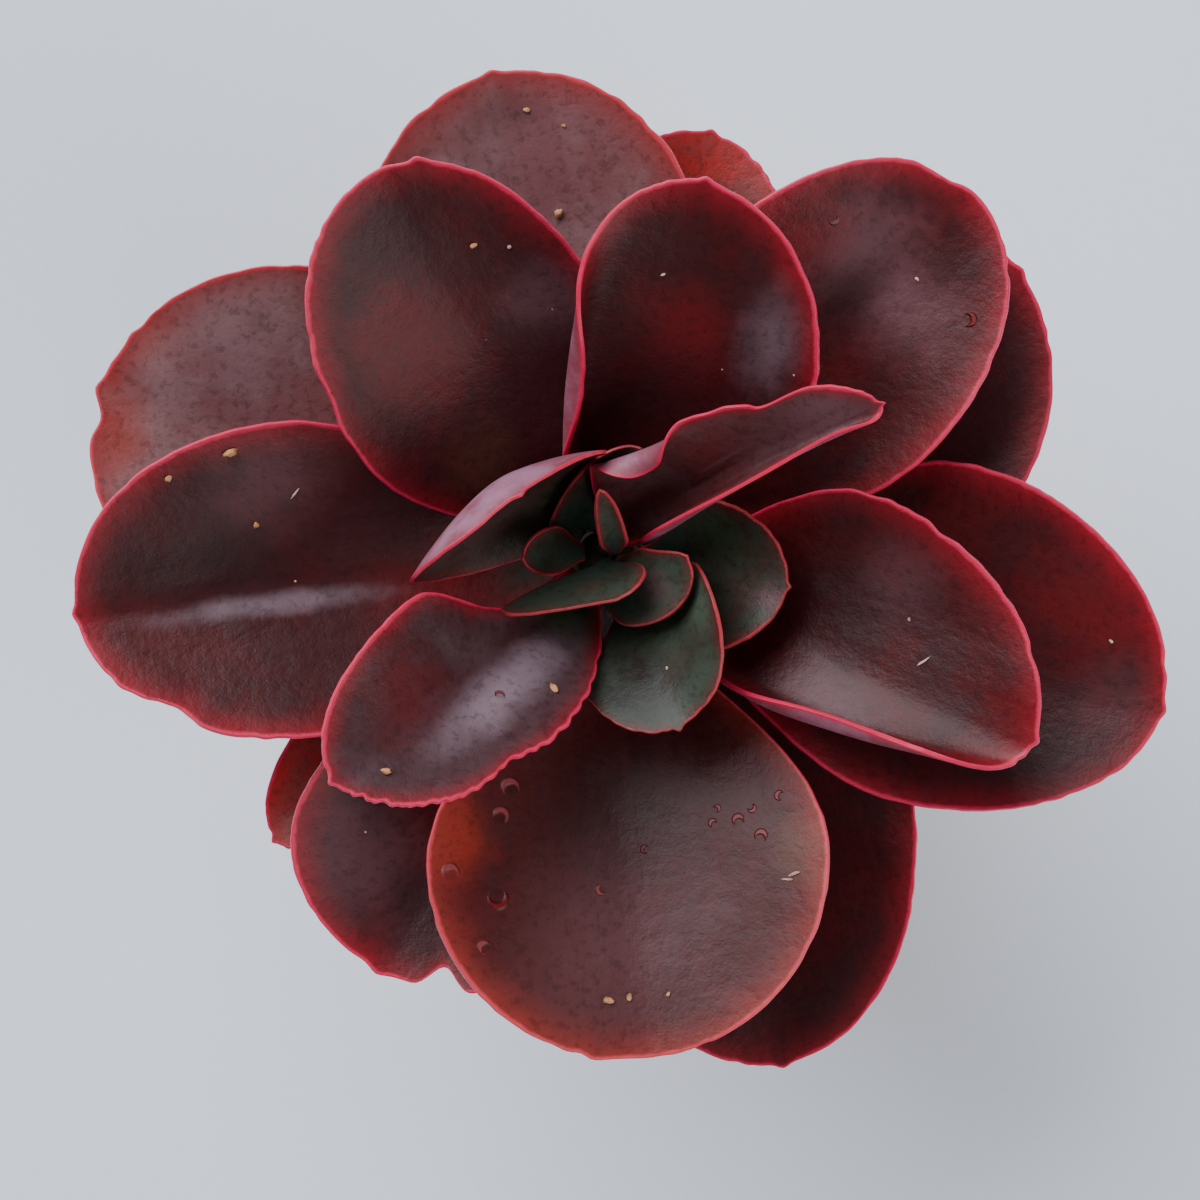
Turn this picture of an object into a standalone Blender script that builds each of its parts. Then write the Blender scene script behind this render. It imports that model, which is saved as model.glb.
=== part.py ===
"""A potted echeveria: a rosette of fleshy leaves on a short stem, in gritty soil, in a plain clay pot.

Lengths are metres and +Z is up. The origin is the middle of the pot's foot, on the ground.
Headings are degrees from +X towards +Y, seen from above.
"""

from dataclasses import dataclass
from math import atan2, cos, degrees, exp, pi, radians, sin, sqrt

import bmesh
import bpy
from mathutils import Matrix, Vector, noise

MM = 0.001
GAP = 0.3 * MM
MERGE = 0.01 * MM
SHARP_ANGLE = 40

# The pot, turned about +Z
POT_HEIGHT = 98 * MM
POT_RIM_RADIUS = 56 * MM
POT_FOOT_RADIUS = 36 * MM
POT_WALL = 6 * MM
POT_FLOOR = 8 * MM
WALL_DRAFT = 1 * MM
RIM_BAND_HEIGHT = 25 * MM
RIM_BAND_STEP = 3.5 * MM
RIM_BAND_DRAFT = 1.5 * MM
FOOT_RING_WIDTH = 8 * MM
FOOT_RECESS = 1.5 * MM
DRAIN_RADIUS = 6 * MM
POT_EDGE = 1.2 * MM
POT_SIDES = 48

# The soil, which fills the pot to a little below its rim
SOIL_TOP = 88 * MM
SOIL_RELIEF = 1.6 * MM
SOIL_LUMP = 9 * MM
SOIL_EDGE_POWER = 6
SOIL_RINGS = 6
SOIL_SIDES = 48

# The stem, which stands in a plain hole in the soil, a little off the middle of the pot
STEM_AXIS = Vector((-2.3 * MM, 2.3 * MM, 0))
STEM_BEND = Vector((0.2 * MM, 2.2 * MM, 0))
STEM_BEND_FROM = 112 * MM
STEM_FOOT = 62 * MM
STEM_BULGE = 0.45 * MM
STEM_CAP = 0.4 * MM
STEM_HOLE_WIDEST = 92 * MM
STEM_HOLE_TOP = 102 * MM
# Heights and radii in millimetres
STEM_PROFILE = (
    (62, 6.0), (88, 7.2), (100, 7.4), (110, 6.4), (118, 5.0), (122, 4.0), (125, 2.7), (128, 1.6),
    (131, 1.1), (132, 0.7),
)
STEM_RINGED_TO = 98 * MM
STEM_RINGS = 16
STEM_SIDES = 20

# The leaves, which leave the stem one above the other
LOWEST_LEAF = 100 * MM
LEAF_STEP = 1.25 * MM
YOUNG_LENGTH = 45 * MM
# A blade's thickness: at its margin, how much is above the midrib's line, and how it falls off
LEAF_EDGE = 1.1 * MM
ABOVE_SHARE = 0.42
TIP_SHARE = 0.7
EDGE_POWER = 1.3
# A blade's form: how soon it rolls over, the width over which its fold is rounded, the middle
# that bearings round its margin are taken from, and the middle of the wave round it
ROLL_PACE = 1.6
KEEL = 2.5 * MM
BLADE_MIDDLE = 0.45
WAVE_MIDDLE = 0.35
WAVE_POWER = 2.5
WAVE_PACE = 3
CUT_POWER = 2
POINT_SPREAD = 3.0


@dataclass(frozen=True)
class Leaf:
    """One leaf, by sizes that could be read off it with a rule and a protractor.

    Pairs give the left half and the right half, looking from the stem to the tip. Each cut is a
    bearing round the margin from the tip, positive to the left, with its depth and its spread.
    The seat is the bearing of the foot round the stem, where it isn't the leaf's heading.
    """

    name: str
    heading: float
    length: float
    width: float
    rise: tuple
    place: float
    widest: float = 0.57
    blunt: float = 2.0
    waist: tuple = (1.6, 1.6)
    foot: float = 13 * MM
    thick: float = 3.4 * MM
    seat: float = None
    swerve: float = 0.0
    lean: float = 0.0
    fold: tuple = (5.0, 5.0)
    halves: tuple = (1.0, 1.0)
    cup: tuple = (22.0, 22.0)
    curl: tuple = (0.0, 0.0)
    curl_at: float = 0.45
    curl_reach: float = 0.45
    curl_band: float = 0.5
    wave: float = 0.0
    waves: float = 2.5
    point: float = 0.7 * MM
    point_at: float = 0.0
    cuts: tuple = ()
    rows: int = 11
    columns: int = 12


def leaf_table():
    """The leaves, from the outermost to those at the middle."""
    small = {"rows": 7, "columns": 6, "thick": 1.9 * MM, "point": 0.4 * MM}
    return [
        Leaf("leaf_01", 220, 66 * MM, 28 * MM, (2, 3, 6), 0, lean=-12),
        Leaf("leaf_02", 76, 68 * MM, 42 * MM, (5, 5, 8), 1),
        Leaf("leaf_03", 297, 83 * MM, 65 * MM, (4, 5, 8), 2, swerve=-16, widest=0.53,
             blunt=1.5, halves=(1.05, 0.95)),
        Leaf("leaf_04", 161, 82.5 * MM, 67 * MM, (7, 7, 10), 3, widest=0.53,
             cuts=((10, 1.5 * MM, 5),)),
        Leaf("leaf_05", 35, 78 * MM, 64 * MM, (8, 8, 12), 4, blunt=1.9, halves=(0.95, 1.04),
             cup=(22, 12)),
        Leaf("leaf_06", 241, 71 * MM, 52 * MM, (9, 9, 14), 5, widest=0.70, blunt=2.4,
             cuts=((22, 4.5 * MM, 5),)),
        Leaf("leaf_07", 103, 76.5 * MM, 59 * MM, (10, 11, 14), 6, widest=0.58),
        Leaf("leaf_08", 345, 88.5 * MM, 63 * MM, (11, 12, 16), 7, blunt=1.8, halves=(1.02, 0.84)),
        Leaf("leaf_09", 182, 81 * MM, 56 * MM, (16, 15, 15), 8, swerve=8, fold=(12, 12),
             halves=(0.97, 1.0), cuts=((50, 3.0 * MM, 8),)),
        Leaf("leaf_10", 45, 80 * MM, 54 * MM, (20, 18, 18), 9.3, halves=(0.92, 0.95),
             point=0, cuts=((14, 1.0 * MM, 10),)),
        Leaf("leaf_11", 274.5, 76 * MM, 67 * MM, (18, 15, 16), 10.2, widest=0.59, point_at=-15),
        Leaf("leaf_12", 121.5, 71 * MM, 49 * MM, (30, 28, 25), 11.2, widest=0.50, blunt=2.2,
             waist=(1.3, 1.3), halves=(1.05, 0.93), foot=11 * MM, thick=3.0 * MM, point_at=-24),
        Leaf("leaf_13", 337, 74.5 * MM, 50 * MM, (34, 30, 26), 12.2, widest=0.52, blunt=1.6,
             waist=(1.6, 2.2), halves=(1.1, 0.64), cup=(25, 30), curl=(0, 105), curl_at=0.60,
             curl_reach=0.55, foot=11 * MM, thick=3.0 * MM, wave=0.8 * MM, waves=5),
        Leaf("leaf_14", 75, 66 * MM, 47 * MM, (42, 38, 34), 13.4, halves=(0.81, 1.1),
             waist=(0.8, 1.6), curl=(125, 0), curl_at=0.45, curl_reach=0.5, foot=9 * MM,
             thick=2.8 * MM),
        Leaf("leaf_15", 351, 32 * MM, 26 * MM, (46, 48, 38), 14.4, foot=6.5 * MM, thick=2.4 * MM,
             cup=(36, 25), waist=(1.6, 3.0)),
        Leaf("leaf_16", 293, 32.5 * MM, 37 * MM, (57, 48, 24), 15.65, foot=6 * MM, thick=2.2 * MM,
             lean=-8, cup=(58, 5), waist=(1.0, 5.0), halves=(0.98, 0.62)),
        Leaf("leaf_17", 220, 63 * MM, 36 * MM, (50, 42, 32), 16.4, foot=6.5 * MM, thick=2.4 * MM,
             fold=(14, 14), waist=(0.8, 7.0), halves=(1.05, 0.84), cuts=((73, 3.6 * MM, 8),)),
        Leaf("leaf_18", 146, 40 * MM, 40 * MM, (30, 58, 130), 17.4, foot=6 * MM, thick=2.2 * MM,
             widest=0.66, lean=24, halves=(1.05, 0.86)),
        Leaf("leaf_19", 33, 57 * MM, 28 * MM, (48, 42, 36), 20.5, foot=4.5 * MM, thick=1.9 * MM,
             swerve=-12, fold=(28, 75), halves=(1.2, 0.56), waist=(1.0, 1.6), widest=0.27,
             blunt=0.95, wave=0.5 * MM, waves=6, curl=(165, 0), curl_at=0.35, curl_reach=0.17,
             curl_band=0.37, cuts=((64, 5.2 * MM, 8),), rows=16, columns=14),
        Leaf("leaf_20", 66, 21 * MM, 15 * MM, (35, 48, 54), 18.9, seat=117, foot=3.5 * MM,
             swerve=-15, fold=(36, 0), halves=(1.28, 0.24), waist=(0.2, 1.6), widest=0.12,
             blunt=2.3, **small),
        Leaf("leaf_21", 186, 15 * MM, 9 * MM, (42, 52, 56), 20.3, foot=3 * MM,
             fold=(5, 20), halves=(0.7, 1.2), **small),
        Leaf("leaf_22", 322, 17.5 * MM, 15 * MM, (56, 48, 44), 22.4, foot=3.5 * MM, swerve=75,
             halves=(0.45, 1.3), widest=0.42, blunt=1.4, **small),
        Leaf("leaf_23", 282, 15 * MM, 28 * MM, (68, 66, 62), 24.4, foot=3.5 * MM, lean=-6,
             cup=(12, 0), waist=(1.2, 2.0), widest=0.65, halves=(0.40, 1.3), **small),
        Leaf("leaf_24", 104, 17.5 * MM, 6.5 * MM, (60, 58, 54), 26.4, seat=-30, foot=2.4 * MM,
             fold=(34, 34), halves=(0.7, 0.9), widest=0.28, blunt=1.25, **small),
    ]


def mix(first, last, share):
    """A value the given share of the way from the first to the last."""
    return first + (last - first) * share


def ease(share):
    """A share from 0 to 1 that starts and ends gently."""
    share = min(1.0, max(0.0, share))
    return share * share * (3 - 2 * share)


def through(points, at):
    """The value at a place on a line of (place, value) points."""
    for (x0, y0), (x1, y1) in zip(points, points[1:]):
        if at <= x1:
            return mix(y0, y1, max(0.0, (at - x0) / (x1 - x0)))
    return points[-1][1]


def stem_radius(height):
    """The stem's radius at a height above the ground."""
    return through(STEM_PROFILE, height / MM) * MM


def stem_middle(height):
    """The middle of the stem at a height: straight below, and bending over near its tip."""
    top = STEM_PROFILE[-1][0] * MM
    return STEM_AXIS + STEM_BEND * ease((height - STEM_BEND_FROM) / (top - STEM_BEND_FROM))


class LeafShape:
    """Turns a place on a flat half disc into a place on one leaf.

    On the half disc x runs from -1 on the right to 1 on the left and y from 0 at the foot
    to 1 at the tip, and the round edge is the leaf's margin.
    """

    STEPS = 24
    BENDS = 10
    TIP = 0.9995

    def __init__(self, leaf):
        self.leaf = leaf
        self.base_height = LOWEST_LEAF + LEAF_STEP * leaf.place
        start_slope = radians(leaf.rise[0])
        clear = GAP + ABOVE_SHARE * leaf.thick * sin(start_slope)
        reach = stem_radius(self.base_height) + clear
        seat = radians(leaf.heading if leaf.seat is None else leaf.seat)
        start = Vector((reach * cos(seat), reach * sin(seat), self.base_height))
        self.spine = [stem_middle(self.base_height) + start]
        step = leaf.length / self.STEPS
        for number in range(self.STEPS):
            along = self.frame_at((number + 0.5) / self.STEPS)[0]
            self.spine.append(self.spine[-1] + along * step)

    def frame_at(self, share):
        """The direction along the midrib, to the left and up out of the leaf, at a share of its length."""
        leaf = self.leaf
        low, middle, high = leaf.rise
        rest = 1 - share
        slope = radians(low * rest * rest + 2 * middle * rest * share + high * share * share)
        turn = radians(leaf.heading + leaf.swerve * share)
        along = Vector((cos(slope) * cos(turn), cos(slope) * sin(turn), sin(slope)))
        left = Vector((-sin(turn), cos(turn), 0))
        roll = Matrix.Rotation(radians(-leaf.lean * ease(share * ROLL_PACE)), 3, along)
        left = roll @ left
        return along, left, along.cross(left)

    def spine_at(self, share):
        """The point and frame on the midrib at a share of its length."""
        place = min(share, self.TIP) * self.STEPS
        number = int(place)
        return self.spine[number].lerp(self.spine[number + 1], place - number), self.frame_at(share)

    def breadth(self, y, side):
        """How much wider than the half disc one half of the leaf is at y."""
        leaf = self.leaf
        y = min(y, self.TIP)
        if y < leaf.widest:
            foot = leaf.foot / leaf.width
            wide = mix(foot, 1.0, sin(pi / 2 * y / leaf.widest) ** leaf.waist[side])
        else:
            wide = sqrt(1 - ((y - leaf.widest) / (1 - leaf.widest)) ** leaf.blunt)
        return wide / sqrt(1 - y * y)

    def slope_across(self, distance, side, y):
        """The slope of the blade across the leaf, at a distance from the midrib on one side."""
        leaf = self.leaf
        half = leaf.width / 2 * leaf.halves[side]
        share = distance / half
        margin = self.breadth(y, side) * sqrt(max(0.0, 1 - y * y))
        curl = ease((share / max(margin, 0.05) - 1 + leaf.curl_band) / leaf.curl_band)
        curl *= ease(1 - abs(y - leaf.curl_at) / leaf.curl_reach)
        fold = leaf.fold[side] * ease(distance / KEEL)
        return radians(fold + leaf.cup[side] * share + leaf.curl[side] * curl)

    def across(self, distance, side, y):
        """How far out and up a point lies that is this distance from the midrib along the blade."""
        out = up = 0.0
        for number in range(self.BENDS):
            slope = self.slope_across(distance * (number + 0.5) / self.BENDS, side, y)
            out += cos(slope) * distance / self.BENDS
            up += sin(slope) * distance / self.BENDS
        return out, up, self.slope_across(distance, side, y)

    def thickness(self, x, y):
        """The leaf's thickness, which falls from the foot to the tip and to the margin."""
        near_edge = min(1.0, x * x + y * y)
        core = mix(self.leaf.thick, self.leaf.thick * TIP_SHARE, y)
        return mix(core, LEAF_EDGE, near_edge ** EDGE_POWER)

    def ripple(self, x, y):
        """How far the waved margin stands above or below the blade."""
        leaf = self.leaf
        near_edge = min(1.0, x * x + y * y)
        round_edge = atan2(x, y - WAVE_MIDDLE)
        height = leaf.wave * near_edge ** WAVE_POWER * ease(y * WAVE_PACE)
        return height * sin(leaf.waves * round_edge)

    def trimmed(self, x, y):
        """The place on the half disc after the margin's cuts and the tip's small point."""
        bearing = degrees(atan2(x, y - BLADE_MIDDLE))
        depth = -self.leaf.point * exp(-(((bearing - self.leaf.point_at) / POINT_SPREAD) ** 2))
        for at, deepest, spread in self.leaf.cuts:
            depth += deepest * exp(-(((bearing - at) / spread) ** 2))
        near_edge = min(1.0, x * x + y * y)
        keep = 1 - depth * near_edge ** CUT_POWER / (self.leaf.length * (1 - BLADE_MIDDLE))
        return x * keep, BLADE_MIDDLE + (y - BLADE_MIDDLE) * keep

    def place(self, x, y, layer):
        """The point for a place on the half disc, in the lower face (layer 0) or the upper one (1)."""
        leaf = self.leaf
        thickness = self.thickness(x, y)
        ripple = self.ripple(x, y)
        side = 0 if x >= 0 else 1
        breadth = self.breadth(y, side)
        x, y = self.trimmed(x, y)
        hand = 1 if side == 0 else -1
        distance = abs(x) * breadth * leaf.width / 2 * leaf.halves[side]
        out, up, slope = self.across(distance, side, y)
        point, (along, left, above) = self.spine_at(y)
        point = point + along * leaf.length * max(0.0, y - 1)
        outwards = left * hand
        normal = above * cos(slope) - outwards * sin(slope)
        lift = thickness * (layer - 1 + ABOVE_SHARE) + ripple
        return point + outwards * out + above * up + normal * lift


def half_disc(across, along):
    """The place on the half disc of a place on a square grid, so that no cell closes to a point."""
    return across * sqrt(1 - along * along / 2), along * sqrt(1 - across * across / 2)


def new_object(name, mesh_builder, material):
    """Adds an object whose mesh is made by a function that fills a bmesh."""
    work = bmesh.new()
    mesh_builder(work)
    bmesh.ops.recalc_face_normals(work, faces=work.faces)
    mesh = bpy.data.meshes.new(name)
    work.to_mesh(mesh)
    work.free()
    mesh.shade_smooth()
    mesh.set_sharp_from_angle(angle=radians(SHARP_ANGLE))
    mesh.materials.append(material)
    made = bpy.data.objects.new(name, mesh)
    bpy.context.scene.collection.objects.link(made)
    return made


def fill_leaf(work, leaf):
    """A slab of triangles, alike on both faces, laid through the leaf's shape."""
    shape = LeafShape(leaf)
    bmesh.ops.create_grid(work, x_segments=leaf.columns, y_segments=leaf.rows, size=1)
    bmesh.ops.triangulate(work, faces=work.faces, quad_method="FIXED")
    lower = list(work.verts)
    raised = bmesh.ops.extrude_face_region(work, geom=work.faces[:])
    upper = [item for item in raised["geom"] if isinstance(item, bmesh.types.BMVert)]
    for layer, verts in ((0, lower), (1, upper)):
        for vert in verts:
            x, y = half_disc(vert.co.x, (vert.co.y + 1) / 2)
            vert.co = shape.place(x, y, layer)
    bmesh.ops.triangulate(work, faces=work.faces)


def spin_profile(work, profile, sides, close=True):
    """Turns a line of (radius, height) points once round +Z."""
    verts = [work.verts.new((radius, 0, height)) for radius, height in profile]
    edges = [work.edges.new(pair) for pair in zip(verts, verts[1:])]
    if close:
        edges.append(work.edges.new((verts[-1], verts[0])))
    bmesh.ops.spin(
        work, geom=verts + edges, cent=(0, 0, 0), axis=(0, 0, 1),
        angle=2 * pi, steps=sides, use_merge=True,
    )
    bmesh.ops.remove_doubles(work, verts=work.verts, dist=MERGE)


def pot_inner_radius(height):
    """The radius of the pot's inner wall at a height above the ground."""
    foot = POT_FOOT_RADIUS - POT_WALL + WALL_DRAFT
    mouth = POT_RIM_RADIUS - POT_WALL - WALL_DRAFT
    return mix(foot, mouth, (height - POT_FLOOR) / (POT_HEIGHT - POT_FLOOR))


def fill_pot(work):
    """The pot's wall, rim band, floor, foot ring and drain hole, as one turned outline."""
    band_low = POT_HEIGHT - RIM_BAND_HEIGHT
    band_low_radius = POT_RIM_RADIUS - RIM_BAND_DRAFT
    under_band = band_low_radius - RIM_BAND_STEP
    mouth = pot_inner_radius(POT_HEIGHT)
    foot_inside = POT_FOOT_RADIUS - FOOT_RING_WIDTH
    profile = [
        (POT_FOOT_RADIUS - POT_EDGE, 0),
        (POT_FOOT_RADIUS, POT_EDGE),
        (under_band, band_low),
        (band_low_radius - POT_EDGE, band_low),
        (band_low_radius, band_low + POT_EDGE),
        (POT_RIM_RADIUS, POT_HEIGHT - 2 * POT_EDGE),
        (POT_RIM_RADIUS - POT_EDGE, POT_HEIGHT - 0.4 * POT_EDGE),
        (POT_RIM_RADIUS - 2 * POT_EDGE, POT_HEIGHT),
        (mouth + POT_EDGE, POT_HEIGHT),
        (mouth, POT_HEIGHT - POT_EDGE),
        (pot_inner_radius(POT_FLOOR), POT_FLOOR),
        (DRAIN_RADIUS, POT_FLOOR),
        (DRAIN_RADIUS, FOOT_RECESS),
        (foot_inside - FOOT_RECESS, FOOT_RECESS),
        (foot_inside, 0),
    ]
    spin_profile(work, profile, POT_SIDES)


def soil_height(x, y):
    """The height of the soil's lumpy surface."""
    broad = noise.noise(Vector((x, y, 0)) / SOIL_LUMP)
    finer = noise.noise(Vector((x, y, 7)) * 2 / SOIL_LUMP) / 2
    return SOIL_TOP + SOIL_RELIEF * (broad + finer)


def fill_soil(work):
    """A plug of soil that follows the pot's inner wall, with a lumpy top."""
    bottom = POT_FLOOR + GAP
    low_radius = pot_inner_radius(bottom) - GAP
    top_radius = pot_inner_radius(SOIL_TOP) - GAP
    profile = [(0, bottom), (low_radius, bottom)]
    profile += [(top_radius * ring / SOIL_RINGS, SOIL_TOP) for ring in range(SOIL_RINGS, -1, -1)]
    spin_profile(work, profile, SOIL_SIDES, close=False)
    for vert in work.verts:
        if vert.co.z > SOIL_TOP - GAP:
            inside = 1 - (vert.co.to_2d().length / top_radius) ** SOIL_EDGE_POWER
            vert.co.z += (soil_height(vert.co.x, vert.co.y) - SOIL_TOP) * inside


def fill_stem(work):
    """The stem, ringed where old leaves have come away."""
    top = STEM_PROFILE[-1][0] * MM
    profile = [(0, STEM_FOOT)]
    for ring in range(STEM_RINGS + 1):
        height = mix(STEM_FOOT, top, ring / STEM_RINGS)
        ringed = ring % 2 == 1 and SOIL_TOP < height < STEM_RINGED_TO
        profile.append((stem_radius(height) + (STEM_BULGE if ringed else 0), height))
    profile.append((0, top + STEM_CAP))
    spin_profile(work, profile, STEM_SIDES, close=False)
    for vert in work.verts:
        vert.co += stem_middle(vert.co.z)


def fill_stem_hole(work):
    """The plain hole that the stem stands in, with its gap all round."""
    bottom = STEM_FOOT - GAP
    radius = stem_radius(STEM_HOLE_WIDEST) + GAP + STEM_BULGE
    middle = STEM_AXIS + Vector((0, 0, (bottom + STEM_HOLE_TOP) / 2))
    bmesh.ops.create_cone(
        work, cap_ends=True, segments=STEM_SIDES, radius1=radius, radius2=radius,
        depth=STEM_HOLE_TOP - bottom, matrix=Matrix.Translation(middle),
    )


def cut(target, cutter):
    """Takes one shape out of another and leaves the cutter out of the model."""
    cutter.hide_render = True
    cutter.display_type = "WIRE"
    boolean = target.modifiers.new("Hole", "BOOLEAN")
    boolean.operation = "DIFFERENCE"
    boolean.object = cutter


def new_material(name, colour, roughness):
    """A plain Principled surface."""
    made = bpy.data.materials.new(name)
    made.use_nodes = True
    shader = made.node_tree.nodes["Principled BSDF"]
    shader.inputs["Base Color"].default_value = (*colour, 1)
    shader.inputs["Roughness"].default_value = roughness
    shader.inputs["Metallic"].default_value = 0
    return made


def clear_scene():
    """Removes whatever the file holds before the model is made."""
    for old in list(bpy.data.objects):
        bpy.data.objects.remove(old, do_unlink=True)


def main():
    """Makes the pot, the soil, the stem and every leaf."""
    clear_scene()
    clay = new_material("clay", (0.50, 0.20, 0.10), 0.85)
    earth = new_material("earth", (0.07, 0.045, 0.03), 0.95)
    bark = new_material("bark", (0.20, 0.14, 0.08), 0.8)
    old_leaf = new_material("burgundy_leaf", (0.12, 0.025, 0.03), 0.45)
    young_leaf = new_material("green_leaf", (0.06, 0.11, 0.07), 0.5)
    new_object("pot", fill_pot, clay)
    soil = new_object("soil", fill_soil, earth)
    cut(soil, new_object("stem_hole", fill_stem_hole, earth))
    new_object("stem", fill_stem, bark)
    for leaf in leaf_table():
        material = young_leaf if leaf.length < YOUNG_LENGTH else old_leaf
        new_object(leaf.name, lambda work, leaf=leaf: fill_leaf(work, leaf), material)


main()
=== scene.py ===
"""The looks of a potted echeveria: its leaves, stem, soil and clay pot, and the studio round them.

Lengths are metres, +Z is up and the origin is the middle of the pot's foot. Headings are degrees
from +X towards +Y. Each piece keeps the shape of the solid that it stands for and adds what the
solid leaves out: the teeth and rounding of the leaves' margins, the grain of the soil, the
turned surface of the clay, and every finish.
"""

from __future__ import annotations

import logging
import random
from collections.abc import Iterable
from dataclasses import dataclass, field
from enum import Enum
from math import atan2, cos, degrees, exp, pi, radians, sin, sqrt

import bmesh
import bpy
from mathutils import Matrix, Vector, noise


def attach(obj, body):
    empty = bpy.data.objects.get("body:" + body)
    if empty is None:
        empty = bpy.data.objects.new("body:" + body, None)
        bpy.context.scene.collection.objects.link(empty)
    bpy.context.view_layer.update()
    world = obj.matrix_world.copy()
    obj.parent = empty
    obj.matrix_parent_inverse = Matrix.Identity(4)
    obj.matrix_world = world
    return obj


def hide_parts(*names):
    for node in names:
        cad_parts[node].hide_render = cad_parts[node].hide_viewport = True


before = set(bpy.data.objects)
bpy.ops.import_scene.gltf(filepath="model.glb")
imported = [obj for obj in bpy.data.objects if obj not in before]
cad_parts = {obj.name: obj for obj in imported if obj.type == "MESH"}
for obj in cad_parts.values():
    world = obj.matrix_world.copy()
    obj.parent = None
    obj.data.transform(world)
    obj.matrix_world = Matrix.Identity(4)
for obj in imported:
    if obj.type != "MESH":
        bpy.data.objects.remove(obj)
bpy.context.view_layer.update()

log = logging.getLogger("echeveria")

MM = 0.001
GAP = 0.3 * MM
MERGE = 0.01 * MM

Tint = tuple[float, float, float]
Pair = tuple[float, float]


def mix(first: float, last: float, share: float) -> float:
    """Returns the value the given share of the way from the first to the last."""
    return first + (last - first) * share


def ease(share: float) -> float:
    """Returns a share from 0 to 1 that starts and ends gently."""
    share = min(1.0, max(0.0, share))
    return share * share * (3 - 2 * share)


def through(points: Iterable[Pair], at: float) -> float:
    """Reads a value off a line of points.

    Args:
        points: The line's (place, value) points, in order.
        at: The place.

    Returns:
        The value there.
    """
    points = list(points)
    for (x0, y0), (x1, y1) in zip(points, points[1:]):
        if at <= x1:
            return mix(y0, y1, max(0.0, (at - x0) / (x1 - x0)))
    return points[-1][1]


def tint(red: int, green: int, blue: int) -> Tint:
    """Returns a colour as light, from the numbers that a screen would show it with.

    Args:
        red: The red part, from 0 to 255.
        green: The green part, from 0 to 255.
        blue: The blue part, from 0 to 255.

    Returns:
        The colour's red, green and blue light, each from 0 to 1.
    """
    return tuple(
        part / 12.92 if part <= 0.04045 else ((part + 0.055) / 1.055) ** 2.4
        for part in (red / 255, green / 255, blue / 255)
    )


class Wire:
    """A number that varies over a surface: a node's output, with arithmetic."""

    def __init__(self, bench: Bench, socket: bpy.types.NodeSocket) -> None:
        """Wraps an output of one of the bench's nodes."""
        self.bench = bench
        self.socket = socket

    def _maths(self, operation: str, *values: Wire | float, clamp: bool = False) -> Wire:
        """Returns the result of a Math node with these values."""
        sockets = {number: value for number, value in enumerate(values)}
        return self.bench.node("ShaderNodeMath", {"operation": operation, "use_clamp": clamp}, sockets)

    def __add__(self, other: Wire | float) -> Wire:
        """Returns the sum."""
        return self._maths("ADD", self, other)

    __radd__ = __add__

    def __sub__(self, other: Wire | float) -> Wire:
        """Returns the difference."""
        return self._maths("SUBTRACT", self, other)

    def __rsub__(self, other: float) -> Wire:
        """Returns the difference, the other way round."""
        return self._maths("SUBTRACT", other, self)

    def __mul__(self, other: Wire | float) -> Wire:
        """Returns the product."""
        return self._maths("MULTIPLY", self, other)

    def __truediv__(self, other: Wire | float) -> Wire:
        """Returns the quotient."""
        return self._maths("DIVIDE", self, other)

    def __pow__(self, power: float) -> Wire:
        """Returns the power."""
        return self._maths("POWER", self, power)

    def held(self) -> Wire:
        """Returns the number held between 0 and 1."""
        return self._maths("ADD", self, 0.0, clamp=True)

    def fade(self, start: float, end: float) -> Wire:
        """Turns the number into a share that rises smoothly.

        Args:
            start: The number at which the share is 0.
            end: The number at which it is 1, which may be the smaller.

        Returns:
            The share.
        """
        if start > end:
            return 1 - self.fade(end, start)
        settings = {"interpolation_type": "SMOOTHSTEP"}
        sockets = {"Value": self, "From Min": start, "From Max": end}
        return self.bench.node("ShaderNodeMapRange", settings, sockets)


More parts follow.
